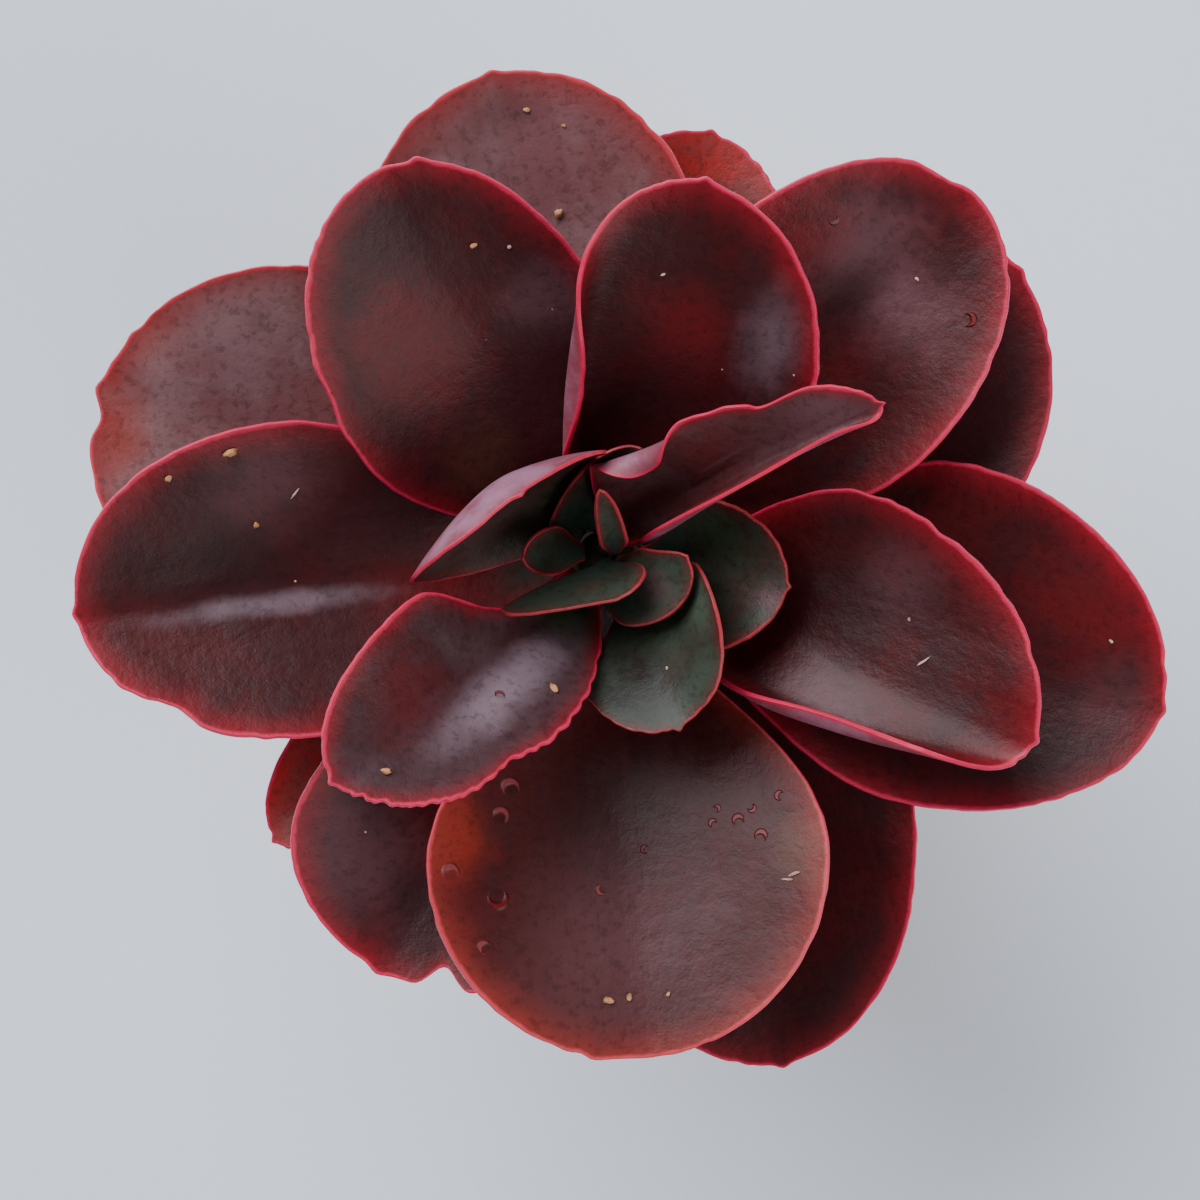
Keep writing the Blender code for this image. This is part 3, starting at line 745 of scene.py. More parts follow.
@dataclass(frozen=True)
class Growth:
    """What all the leaves share: where they start, and how their blades are made.

    A rate says how soon past the foot an effect sets in: at 4 it is whole a quarter of the way
    along the leaf. A fall is the power by which an effect gathers at the margin.
    """

    lowest: float = 100 * MM
    step: float = 1.25 * MM
    edge: float = 0.75 * MM
    edge_share: float = 0.25
    edge_fall: float = 1.3
    tip_share: float = 0.7
    above_share: float = 0.42
    keel: float = 2.5 * MM
    lean_rate: float = 1.6
    middle: float = 0.45
    wave_middle: float = 0.35
    wave_rate: float = 3
    wave_fall: float = 2.5
    point_spread: float = 2.2
    point_fall: float = 2
    tooth_arm: float = 0.55
    tooth_rate: float = 5
    tooth_fall: float = 8
    stretch_pitch: float = 0.13
    scallop_pitch: float = 2.6 * MM
    scallop_drift: float = 0.35
    dent: float = 0.35 * MM
    dent_size: float = 15 * MM
    dent_rate: float = 4
    edge_crowding: float = 1.35


class LeafShape:
    """Turns a place on a flat half disc into a place on one leaf.

    On the half disc x runs from -1 on the right to 1 on the left and y from 0 at the foot
    to 1 at the tip, and the round edge is the leaf's margin.
    """

    STEPS = 24
    BENDS = 10
    TIP = 0.9995
    LEAST_MARGIN = 0.05
    NOTCH_ROW = 0.3
    STRETCH_ROW = 4.7
    DRIFT_ROW = 8.1

    def __init__(self, leaf: LeafSize, stem: StemShape, growth: Growth) -> None:
        """Lays out the leaf's midrib.

        Args:
            leaf: The leaf's sizes.
            stem: The stem that it leaves.
            growth: What it shares with the other leaves.
        """
        self.leaf = leaf
        self.growth = growth
        height = growth.lowest + growth.step * leaf.place
        clear = GAP + growth.above_share * leaf.thick * sin(radians(leaf.rise[0]))
        reach = stem.radius(height) + clear
        seat = radians(leaf.heading if leaf.seat is None else leaf.seat)
        self.spine = [stem.middle(height) + Vector((reach * cos(seat), reach * sin(seat), height))]
        for number in range(self.STEPS):
            along = self.frame_at((number + 0.5) / self.STEPS)[0]
            self.spine.append(self.spine[-1] + along * leaf.length / self.STEPS)

    def frame_at(self, share: float) -> tuple[Vector, Vector, Vector]:
        """Finds how the midrib lies.

        Args:
            share: The place, as a share of the leaf's length.

        Returns:
            The directions along the midrib, to the left and up out of the leaf.
        """
        leaf = self.leaf
        low, middle, high = leaf.rise
        rest = 1 - share
        slope = radians(low * rest * rest + 2 * middle * rest * share + high * share * share)
        turn = radians(leaf.heading + leaf.swerve * share)
        along = Vector((cos(slope) * cos(turn), cos(slope) * sin(turn), sin(slope)))
        roll = Matrix.Rotation(radians(-leaf.lean * ease(share * self.growth.lean_rate)), 3, along)
        left = roll @ Vector((-sin(turn), cos(turn), 0))
        return along, left, along.cross(left)

    def spine_at(self, share: float) -> Vector:
        """Finds a point on the midrib.

        Args:
            share: The place, as a share of the leaf's length.

        Returns:
            The point.
        """
        place = min(share, self.TIP) * self.STEPS
        number = int(place)
        return self.spine[number].lerp(self.spine[number + 1], place - number)

    def breadth(self, y: float, side: int) -> float:
        """Finds how much wider than the half disc one half of the leaf is.

        Args:
            y: The place along the leaf, from 0 to 1.
            side: 0 for the left half and 1 for the right.

        Returns:
            How many times wider.
        """
        leaf = self.leaf
        y = min(y, self.TIP)
        if y < leaf.widest:
            foot = leaf.foot / leaf.width
            wide = mix(foot, 1.0, sin(pi / 2 * y / leaf.widest) ** leaf.waist[side])
        else:
            wide = sqrt(1 - ((y - leaf.widest) / (1 - leaf.widest)) ** leaf.blunt)
        return wide / sqrt(1 - y * y)

    def across(self, distance: float, side: int, y: float) -> tuple[float, float, float]:
        """Follows the blade from the midrib.

        Args:
            distance: How far along the blade.
            side: 0 for the left half and 1 for the right.
            y: The place along the leaf, from 0 to 1.

        Returns:
            How far out and how far up the point lies, and the blade's slope there.
        """
        leaf = self.leaf
        half = leaf.width / 2 * leaf.halves[side]
        margin = max(self.breadth(y, side) * sqrt(max(0.0, 1 - y * y)), self.LEAST_MARGIN)
        curl_here = leaf.curl[side] * ease(1 - abs(y - leaf.curl_at) / leaf.curl_reach)

        def slope_at(share: float) -> float:
            """Finds the blade's slope.

            Args:
                share: The place, as a share of the half's width.

            Returns:
                The slope, up from the level of the midrib.
            """
            fold = leaf.fold[side] * ease(share * half / self.growth.keel)
            curl = ease((share / margin - 1 + leaf.curl_band) / leaf.curl_band) if curl_here else 0.0
            return radians(fold + leaf.cup[side] * share + curl_here * curl)

        out = up = 0.0
        for number in range(self.BENDS):
            slope = slope_at(distance / half * (number + 0.5) / self.BENDS)
            out += cos(slope) * distance / self.BENDS
            up += sin(slope) * distance / self.BENDS
        return out, up, slope_at(distance / half)

    def thickness(self, near_edge: float, y: float) -> float:
        """Finds the leaf's thickness, which falls from the foot to the tip and to the margin.

        Args:
            near_edge: How near to the margin, from 0 to 1 on it.
            y: The place along the leaf, from 0 to 1.

        Returns:
            The thickness.
        """
        growth = self.growth
        thick = self.leaf.thick
        core = mix(thick, thick * growth.tip_share, y)
        return mix(core, min(growth.edge, thick * growth.edge_share), near_edge ** growth.edge_fall)

    def ripple(self, x: float, y: float, near_edge: float) -> float:
        """Finds how far the waved margin stands above or below the blade.

        Args:
            x: The place across the half disc.
            y: The place along it.
            near_edge: How near it is to the margin, from 0 to 1 on it.

        Returns:
            The height above the blade.
        """
        growth = self.growth
        height = self.leaf.wave * near_edge ** growth.wave_fall * ease(y * growth.wave_rate)
        return height * sin(self.leaf.waves * atan2(x, y - growth.wave_middle))

    def chance(self, turn: float, row: float) -> float:
        """Returns smooth noise round the margin, from one of the leaf's own rows of it."""
        return noise.noise(Vector((turn, self.leaf.heading, row)))

    def tooth(self, bearing: float, x: float) -> float:
        """Finds the depth of the margin's teeth and scallops.

        Args:
            bearing: The place round the margin, in degrees from the tip.
            x: The place across the half disc, which the teeth and scallops fade towards 0 with.

        Returns:
            The depth: uneven notches, deeper in some stretches, with the scallops added.
        """
        leaf = self.leaf
        growth = self.growth
        turn = radians(bearing) * leaf.length * growth.tooth_arm / leaf.tooth_pitch
        notch = abs(self.chance(turn, self.NOTCH_ROW))
        stretch = 0.35 + 1.3 * max(0.0, self.chance(turn * growth.stretch_pitch, self.STRETCH_ROW) + 0.2)
        drift = growth.scallop_drift * self.chance(turn, self.DRIFT_ROW)
        lobe = abs(sin(pi * (turn * leaf.tooth_pitch / growth.scallop_pitch + drift)))
        scallop = leaf.scallop[0 if x >= 0 else 1] * (1 - lobe) * ease(abs(x) * 2.5)
        return leaf.teeth * stretch * (notch * 2.6 - 0.4) * min(1.0, abs(x) * 4 + 0.4) + scallop

    def trimmed(self, x: float, y: float, near_edge: float) -> tuple[float, float]:
        """Moves a place on the half disc by the margin's teeth, its cuts and the tip's point.

        Args:
            x: The place across the half disc.
            y: The place along it.
            near_edge: How near it is to the margin, from 0 to 1 on it.

        Returns:
            The place that it moves to.
        """
        leaf = self.leaf
        growth = self.growth
        middle = growth.middle
        bearing = degrees(atan2(x, y - middle))
        depth = -leaf.point * exp(-(((bearing - leaf.point_at) / growth.point_spread) ** 2))
        for at, deepest, spread in leaf.cuts:
            depth += deepest * exp(-(((bearing - at) / spread) ** 2))
        teeth = self.tooth(bearing, x) * near_edge ** growth.tooth_fall * ease(y * growth.tooth_rate)
        keep = 1 - (depth * near_edge ** growth.point_fall + teeth) / (leaf.length * (1 - middle))
        return x * keep, middle + (y - middle) * keep

    def from_edge(self, x: float, y: float, half: float) -> float:
        """Returns how far a place on the half disc is from the margin, measured on the leaf.

        Args:
            x: The place across the half disc.
            y: The place along it.
            half: The width on the leaf that 1 across the half disc stands for there.

        Returns:
            About the shortest distance.
        """
        radius = sqrt(x * x + y * y)
        slant = sqrt((x / half) ** 2 + (y / self.leaf.length) ** 2)
        return max(0.0, 1 - radius) * radius / slant if slant else half

    def point(self, x: float, y: float, layer: int) -> tuple[Vector, dict[str, float]]:
        """Finds a point of the leaf's skin.

        Args:
            x: The place across the half disc.
            y: The place along it.
            layer: 0 for the lower face and 1 for the upper one.

        Returns:
            The point, and the numbers that the leaf's finish reads there.
        """
        leaf = self.leaf
        near_edge = min(1.0, x * x + y * y)
        thickness = self.thickness(near_edge, y)
        ripple = self.ripple(x, y, near_edge)
        side, hand = (0, 1) if x >= 0 else (1, -1)
        half = self.breadth(y, side) * leaf.width / 2 * leaf.halves[side]
        from_edge = self.from_edge(x, y, half)
        x, y = self.trimmed(x, y, near_edge)
        distance = abs(x) * half
        out, up, slope = self.across(distance, side, y)
        along, left, above = self.frame_at(y)
        outwards = left * hand
        normal = above * cos(slope) - outwards * sin(slope)
        spot = self.spine_at(y) + along * leaf.length * max(0.0, y - 1) + outwards * out + above * up
        growth = self.growth
        dent = growth.dent * noise.noise(spot / growth.dent_size) * ease(y * growth.dent_rate)
        spot += normal * (thickness * (layer - 1 + growth.above_share) + ripple + dent)
        marks = {
            "rim": from_edge / MM,
            "along": y,
            "across": distance * hand / MM,
            "upper": float(layer),
        }
        return spot, marks


def finish_mesh(name: str, work: bmesh.types.BMesh) -> bpy.types.Object:
    """Turns a bmesh into an object that is shaded smooth.

    Args:
        name: The object's name.
        work: The bmesh, which is used up.

    Returns:
        The new object, at the origin.
    """
    mesh = bpy.data.meshes.new(name)
    work.to_mesh(mesh)
    work.free()
    mesh.shade_smooth()
    made = bpy.data.objects.new(name, mesh)
    bpy.context.scene.collection.objects.link(made)
    return made


def subdivide(piece: bpy.types.Object, levels: int) -> None:
    """Rounds a piece with a live Subdivision Surface.

    Args:
        piece: The piece.
        levels: How many times its faces are split.
    """
    modifier = piece.modifiers.new("Rounding", "SUBSURF")
    modifier.levels = levels
    modifier.render_levels = levels


def settle(piece: bpy.types.Object, slot: str, material: bpy.types.Material, *nodes: str) -> None:
    """Gives a piece its material and its place in the frame, and reports it.

    Args:
        piece: The piece.
        slot: The record's material slot. It is not used.
        material: Its material.
        nodes: The nodes that it stands for.
    """
    piece.data.materials.append(material)
    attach(piece, "root")
    if nodes:
        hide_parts(*nodes)
    faces = len(piece.data.polygons)
    log.info("%s: %d faces before rounding, for %s", piece.name, faces, nodes or "no node")


def spin(work: bmesh.types.BMesh, outline: list[Pair], sides: int, closed: bool) -> None:
    """Turns an outline of (radius, height) points once round +Z, as one skin that faces outwards.

    Args:
        work: The bmesh that it goes into.
        outline: The points.
        sides: The number of flat sides.
        closed: Whether the last point joins the first.
    """
    verts = [work.verts.new((radius, 0, height)) for radius, height in outline]
    edges = [work.edges.new(pair) for pair in zip(verts, verts[1:])]
    if closed:
        edges.append(work.edges.new((verts[-1], verts[0])))
    bmesh.ops.spin(
        work, geom=verts + edges, cent=(0, 0, 0), axis=(0, 0, 1), angle=2 * pi, steps=sides,
        use_merge=True,
    )
    bmesh.ops.remove_doubles(work, verts=work.verts, dist=MERGE)
    bmesh.ops.recalc_face_normals(work, faces=work.faces)


@dataclass
class Rosette:
    """The leaves, each a fleshy blade that leaves the stem by its foot."""

    stem: StemShape
    growth: Growth = field(default_factory=Growth)
    leaves: list[LeafSize] = field(default_factory=leaf_table)
    green_slot: str = "green_leaf"
    red_slot: str = "burgundy_leaf"
    young_length: float = 45 * MM

    def blade(self, leaf: LeafSize) -> bpy.types.Object:
        """Models one leaf as a slab laid through the leaf's shape.

        Args:
            leaf: The leaf's sizes.

        Returns:
            The leaf, with the numbers that its finish reads.
        """
        shape = LeafShape(leaf, self.stem, self.growth)
        work = bmesh.new()
        layers = {name: work.verts.layers.float.new(name) for name in ("rim", "along", "across", "upper")}
        bmesh.ops.create_grid(work, x_segments=leaf.cells, y_segments=leaf.cells, size=1)
        lower = list(work.verts)
        raised = bmesh.ops.extrude_face_region(work, geom=work.faces[:])
        upper = [item for item in raised["geom"] if isinstance(item, bmesh.types.BMVert)]
        for layer, verts in ((0, lower), (1, upper)):
            for vert in verts:
                x, y = self.half_disc(vert.co.x, (vert.co.y + 1) / 2)
                vert.co, marks = shape.point(x, y, layer)
                for name, value in marks.items():
                    vert[layers[name]] = value
        bmesh.ops.recalc_face_normals(work, faces=work.faces)
        return finish_mesh(f"{leaf.name}_blade", work)

    def half_disc(self, across: float, along: float) -> Pair:
        """Bends a place on a square grid to the half disc, with the cells crowded to the margin.

        Args:
            across: The place across the grid, from -1 to 1.
            along: The place along it, from 0 to 1.

        Returns:
            The place across and along the half disc.
        """
        crowd = self.growth.edge_crowding
        across = (1 - (1 - min(1.0, abs(across))) ** crowd) * (1 if across > 0 else -1)
        along = 1 - (1 - min(1.0, along)) ** crowd
        return across * sqrt(1 - along * along / 2), along * sqrt(1 - across * across / 2)

    def build(self) -> None:
        """Models and dresses every leaf."""
        for leaf in self.leaves:
            blade = self.blade(leaf)
            subdivide(blade, 1)
            slot = self.green_slot if leaf.length < self.young_length else self.red_slot
            settle(blade, slot, leaf.tone.value.make(leaf), leaf.name)


@dataclass(frozen=True)
class BarkFinish:
    """The stem's skin: corky and brown below, green where the youngest leaves leave it."""

    cork: Tint = tint(112, 88, 66)
    crack: Tint = tint(60, 44, 34)
    green: Tint = tint(40, 48, 34)
    green_from: float = 112 * MM
    green_fade: float = 5 * MM
    roughness: float = 0.78
    specular: float = 0.3
    depth: float = 0.8 * MM

    def make(self) -> bpy.types.Material:
        """Makes the material."""
        bench = Bench("stem_bark")
        patches = bench.clouds(4 * MM, 4, 0.6)
        fine = bench.clouds(0.8 * MM, 3, 0.6)
        colour = bench.blend(patches.fade(0.55, 0.38), self.cork, self.crack)
        green = bench.height() + (patches - 0.5) * (6 * MM)
        green = green.fade(self.green_from, self.green_from + self.green_fade)
        colour = bench.blend(green, colour, self.green)
        colour = bench.blend((1 - fine.fade(0.3, 0.6)) * 0.4, colour, self.crack)
        rough = self.roughness + (fine - 0.5) * 0.2
        return bench.finish(colour, rough, patches * 0.6 + fine * 0.3, self.depth, self.specular)


@dataclass
class Stem:
    """The short stem, ringed where old leaves have come away."""

    shape: StemShape
    finish: BarkFinish = field(default_factory=BarkFinish)
    sides: int = 64
    rings: int = 70
    ring_pitch: float = 4.4 * MM
    ring_depth: float = 0.35 * MM
    ring_top: float = 97 * MM
    tip: float = 0.4 * MM

    def build(self) -> None:
        """Models and dresses the stem."""
        outline = [(0.0, self.shape.foot)]
        for number in range(self.rings + 1):
            height = mix(self.shape.foot, self.shape.top, number / self.rings)
            ringed = self.ring_depth * abs(sin(pi * height / self.ring_pitch)) * (height < self.ring_top)
            outline.append((self.shape.radius(height) + ringed, height))
        outline.append((0.0, self.shape.top + self.tip))
        work = bmesh.new()
        spin(work, outline, self.sides, closed=False)
        for vert in work.verts:
            vert.co += self.shape.middle(vert.co.z)
        settle(finish_mesh("stem_bark", work), "bark", self.finish.make(), "stem")


@dataclass(frozen=True)
class SoilFinish:
    """Dark peat with paler fibres and grains in it."""

    peat: Tint = tint(52, 40, 32)
    dry: Tint = tint(96, 76, 60)
    fibre: Tint = tint(132, 104, 78)
    grain: Tint = tint(178, 168, 152)
    grain_pitch: float = 2.6 * MM
    roughness: float = 0.92
    specular: float = 0.2
    depth: float = 1.6 * MM

    def make(self) -> bpy.types.Material:
        """Makes the material."""
        bench = Bench("potting_mix")
        patches = bench.clouds(9 * MM, 4, 0.65)
        crumbs = bench.clouds(1.6 * MM, 4, 0.7)
        fine = bench.clouds(0.5 * MM, 3, 0.6)
        colour = bench.blend(patches.fade(0.42, 0.66), self.peat, self.dry)
        colour = bench.blend(crumbs.fade(0.56, 0.72) * 0.7, colour, self.fibre)
        colour = bench.blend(bench.dots(self.grain_pitch, 0.2, 0.12), colour, self.grain)
        rough = self.roughness + (fine - 0.5) * 0.1
        return bench.finish(colour, rough, crumbs * 0.8 + fine * 0.3, self.depth, self.specular)


@dataclass(frozen=True)
class GritFinish:
    """A loose grain: one colour, with a duller one worn over it."""

    name: str
    clean: Tint
    dull: Tint
    roughness: float = 0.85
    specular: float = 0.3
    depth: float = 0.25 * MM

    def make(self) -> bpy.types.Material:
        """Makes the material."""
        bench = Bench(self.name)
        patches = bench.clouds(1.4 * MM, 3, 0.6)
        fine = bench.clouds(0.3 * MM, 2, 0.5)
        colour = bench.blend(patches.fade(0.38, 0.64), self.clean, self.dull)
        rough = self.roughness + (fine - 0.5) * 0.2
        return bench.finish(colour, rough, fine, self.depth, self.specular)


@dataclass(frozen=True)
class Grit:
    """One kind of loose grain on the soil."""

    name: str
    count: int
    radius: Pair
    squash: float
    finish: GritFinish


@dataclass
class PottingMix:
    """The soil that fills the pot to a little below its rim, with grit on it.

    The grains keep clear of the stem and the rim. Each is tilted, narrowed, sunk and made knobbly
    by a random amount within the sizes given here.
    """

    stem: StemShape
    top: float = 88 * MM
    bottom: float = 8.3 * MM
    low_radius: float = 30.7 * MM
    rim_radius: float = 46.6 * MM
    relief: float = 1.6 * MM
    lump: float = 9 * MM
    crumb: float = 0.5 * MM
    crumb_size: float = 2.4 * MM
    hole_clear: float = 0.75 * MM
    hole_above: float = 4 * MM
    stem_clear: float = 1.5 * MM
    rim_clear: float = 2.5 * MM
    tilt: float = 0.4
    narrow: Pair = (0.55, 0.9)
    rise: float = 0.35
    knobs: float = 0.45
    knob_size: float = 0.9
    rings: int = 44
    sides: int = 150
    seed: int = 11
    finish: SoilFinish = field(default_factory=SoilFinish)
    grits: tuple[Grit, ...] = (
        Grit("perlite", 90, (0.8 * MM, 1.7 * MM), 0.8,
             GritFinish("perlite_white", tint(226, 222, 212), tint(184, 176, 162))),
        Grit("pumice", 130, (0.7 * MM, 1.6 * MM), 0.75,
             GritFinish("pumice_tan", tint(158, 138, 112), tint(118, 100, 80))),
        Grit("bark_chips", 110, (1.0 * MM, 2.6 * MM), 0.35,
             GritFinish("bark_brown", tint(84, 58, 42), tint(48, 34, 26))),
    )

    def height(self, x: float, y: float) -> float:
        """Finds the height of the soil's lumpy top.

        Args:
            x: The place along X.
            y: The place along Y.

        Returns:
            The height there.
        """
        broad = noise.noise(Vector((x, y, 0)) / self.lump)
        middling = noise.noise(Vector((x, y, 7)) * 2 / self.lump) * 0.5
        fine = noise.noise(Vector((x, y, 3)) / self.crumb_size)
        inside = 1 - min(1.0, sqrt(x * x + y * y) / self.rim_radius) ** 6
        return self.top + (self.relief * (broad + middling) + self.crumb * fine) * inside

    def plug(self) -> bpy.types.Object:
        """Models the soil as one skin, open where the stem stands in it.

        Returns:
            The soil.
        """
        hole = self.stem.radius(self.top + self.hole_above) + self.hole_clear
        depth = self.stem.foot - GAP
        outline = [(0.0, depth), (hole * 0.999, depth)]
        for ring in range(self.rings + 1):
            outline.append((mix(hole, self.rim_radius, ring / self.rings), self.top))
        outline += [(self.low_radius, self.bottom), (0.0, self.bottom)]
        work = bmesh.new()
        spin(work, outline, self.sides, closed=False)
        for vert in work.verts:
            radius = vert.co.to_2d().length
            if vert.co.z > depth - GAP:
                inwards = 1 - max(0.0, radius - hole) / (self.rim_radius - hole)
                vert.co += self.stem.axis * inwards
            if vert.co.z > self.top - GAP:
                vert.co.z = self.height(vert.co.x, vert.co.y)
        bmesh.ops.recalc_face_normals(work, faces=work.faces)
        return finish_mesh("potting_mix", work)

    def scatter(self, grit: Grit, draw: random.Random) -> bpy.types.Object:
        """Lays grains of one kind on the soil.

        Args:
            grit: The kind.
            draw: The source of random numbers.

        Returns:
            The grains, as one piece.
        """
        work = bmesh.new()
        keep_out = self.stem.radius(self.top) + self.stem_clear
        laid = 0
        while laid < grit.count:
            radius = (self.rim_radius - self.rim_clear) * sqrt(draw.random())
            heading = draw.uniform(0, 2 * pi)
            spot = Vector((radius * cos(heading), radius * sin(heading), 0))
            size = mix(*grit.radius, draw.random() ** 2)
            turn = Matrix.Rotation(draw.uniform(0, pi), 4, "Z")
            turn = turn @ Matrix.Rotation(draw.uniform(-self.tilt, self.tilt), 4, "X")
            width = size * draw.uniform(*self.narrow)
            shape = Matrix.Diagonal((size, width, size * grit.squash, 1))
            if (spot - self.stem.axis).to_2d().length < keep_out:
                continue
            spot.z = self.height(spot.x, spot.y) + size * grit.squash * self.rise
            grain = Matrix.Translation(spot) @ turn @ shape
            made = bmesh.ops.create_icosphere(work, subdivisions=2, radius=1, matrix=grain)
            for vert in made["verts"]:
                knob = noise.noise(vert.co / (size * self.knob_size))
                vert.co += (vert.co - spot) * self.knobs * knob
            laid += 1
        bmesh.ops.recalc_face_normals(work, faces=work.faces)
        return finish_mesh(f"grit_{grit.name}", work)

    def build(self) -> None:
        """Models and dresses the soil and its grit."""
        settle(self.plug(), "earth", self.finish.make(), "soil")
        draw = random.Random(self.seed)
        for grit in self.grits:
            settle(self.scatter(grit, draw), "earth", grit.finish.make())


@dataclass(frozen=True)
class Crumb:
    """A crumb that lies on a leaf: which leaf, where on its half disc, and its heading.

    Its length and width are in millimetres.
    """

    leaf: str
    x: float
    y: float
    length: float = 1.5
    width: float = 0.9
    heading: float = 20.0


@dataclass
class Crumbs:
    """Dry crumbs of potting mix and short fibres, fallen on the leaves."""

    stem: StemShape
    growth: Growth = field(default_factory=Growth)
    tan: tuple[Crumb, ...] = (
        Crumb("leaf_07", -0.15, 0.68, 1.7, 1.2, 80), Crumb("leaf_07", -0.10, 0.91, 1.1, 0.7),
        Crumb("leaf_07", -0.23, 0.86, 0.9, 0.6), Crumb("leaf_12", -0.28, 0.75, 1.1, 0.7),
        Crumb("leaf_09", -0.65, 0.67, 2.2, 1.2, -15), Crumb("leaf_09", -0.52, 0.79, 1.3),
        Crumb("leaf_09", -0.30, 0.63, 1.2), Crumb("leaf_17", 0.63, 0.40, 1.9, 1.0, -50),
        Crumb("leaf_17", 0.16, 0.89, 1.6, 1.1), Crumb("leaf_11", -0.10, 0.87, 1.9, 1.1, 10),
        Crumb("leaf_11", -0.03, 0.87, 1.3, 0.9, 70), Crumb("leaf_11", 0.10, 0.87, 0.8, 0.6),
        Crumb("leaf_06", 0.02, 0.70, 1.1), Crumb("leaf_10", -0.30, 0.55, 0.9, 0.6),
    )
    pale: tuple[Crumb, ...] = (
        Crumb("leaf_13", 0.14, 0.72, 2.6, 0.35, -50), Crumb("leaf_11", 0.63, 0.65, 2.2, 0.5, -40),
        Crumb("leaf_11", 0.60, 0.66, 1.8, 0.4, -60), Crumb("leaf_09", -0.46, 0.55, 2.4, 0.3, 15),
        Crumb("leaf_12", -0.45, 0.71, 0.8, 0.6), Crumb("leaf_14", 0.10, 0.75, 0.8, 0.4),
        Crumb("leaf_08", 0.20, 0.88, 0.8, 0.5), Crumb("leaf_10", -0.10, 0.80, 0.8, 0.5),
        Crumb("leaf_13", 0.30, 0.66, 0.7, 0.5), Crumb("leaf_16", 0.10, 0.70, 0.6, 0.4),
    )
    tan_finish: GritFinish = GritFinish("crumb_tan", tint(206, 150, 104), tint(160, 104, 70))
    pale_finish: GritFinish = GritFinish("crumb_pale", tint(216, 186, 166), tint(170, 140, 120))
    squash: float = 0.45
    sunk: float = 0.25
    knobs: float = 0.5
    knob_size: float = 0.5 * MM
    probe: float = 0.02

    def lie(self, crumb: Crumb) -> tuple[Vector, Vector]:
        """Finds where a crumb lies.

        Args:
            crumb: The crumb.

        Returns:
            The point on its leaf, and the direction straight out of the leaf there.
        """
        leaf = next(leaf for leaf in leaf_table() if leaf.name == crumb.leaf)
        shape = LeafShape(leaf, self.stem, self.growth)
        steps = ((0, 0), (self.probe, 0), (0, self.probe))
        spot, beside, beyond = (shape.point(crumb.x + dx, crumb.y + dy, 1)[0] for dx, dy in steps)
        above = (beyond - spot).cross(beside - spot).normalized()
        return spot, above if above.z > 0 else -above

    def scatter(self, name: str, crumbs: tuple[Crumb, ...]) -> bpy.types.Object:
        """Lays crumbs of one kind on the leaves.

        Args:
            name: The piece's name.
            crumbs: Where they lie and how large they are.

        Returns:
            The crumbs, as one piece.
        """
        work = bmesh.new()
        for crumb in crumbs:
            spot, above = self.lie(crumb)
            length, width = crumb.length * MM, crumb.width * MM
            tall = width * self.squash
            turn = above.to_track_quat("Z", "Y").to_matrix().to_4x4()
            turn = turn @ Matrix.Rotation(radians(crumb.heading), 4, "Z")
            size = Matrix.Diagonal((length / 2, width / 2, tall, 1))
            middle = Matrix.Translation(spot + above * tall * (1 - self.sunk))
            whole = middle @ turn @ size
            made = bmesh.ops.create_icosphere(work, subdivisions=2, radius=1, matrix=whole)
            for vert in made["verts"]:
                vert.co += (vert.co - spot) * self.knobs * noise.noise(vert.co / self.knob_size)
        bmesh.ops.recalc_face_normals(work, faces=work.faces)
        return finish_mesh(name, work)

    def build(self) -> None:
        """Models and dresses the crumbs."""
        settle(self.scatter("crumbs_tan", self.tan), "earth", self.tan_finish.make())
        settle(self.scatter("crumbs_pale", self.pale), "earth", self.pale_finish.make())


@dataclass(frozen=True)
class ClayFinish:
    """Unglazed fired clay, with turning marks, a chalky bloom and darker damp low down."""

    clay: Tint = tint(186, 104, 72)
    pale: Tint = tint(206, 140, 108)
    damp: Tint = tint(142, 78, 54)
    chalk: Tint = tint(216, 196, 180)
    roughness: float = 0.84
    specular: float = 0.25
    depth: float = 0.7 * MM

    def make(self) -> bpy.types.Material:
        """Makes the material."""
        bench = Bench("fired_clay")
        height = bench.height()
        drift = bench.clouds(38 * MM, 4, 0.6)
        patches = bench.clouds(9 * MM, 5, 0.65)
        grain = bench.clouds(0.7 * MM, 3, 0.6)
        lines = bench.clouds(1.0, 2, 0.5, bench.joined(0.0, 0.0, height / (1.1 * MM)))
        colour = bench.blend((drift * 0.6 + lines * 0.4).fade(0.40, 0.62), self.clay, self.pale)
        damp = (height + (patches - 0.5) * (30 * MM)).fade(34 * MM, 6 * MM)
        colour = bench.blend(damp * 0.7, colour, self.damp)
        chalk = height + (drift - 0.5) * (40 * MM) + (patches - 0.5) * (22 * MM)
        chalk = chalk.fade(62 * MM, 84 * MM) * patches.fade(0.44, 0.66)
        colour = bench.blend(chalk * 0.75, colour, self.chalk)
        colour = bench.blend((1 - grain.fade(0.32, 0.55)) * 0.35, colour, self.damp)
        relief = lines * 0.35 + grain * 0.25 + patches * 0.3
        rough = self.roughness + (grain - 0.5) * 0.12
        return bench.finish(colour, rough, relief, self.depth, self.specular)


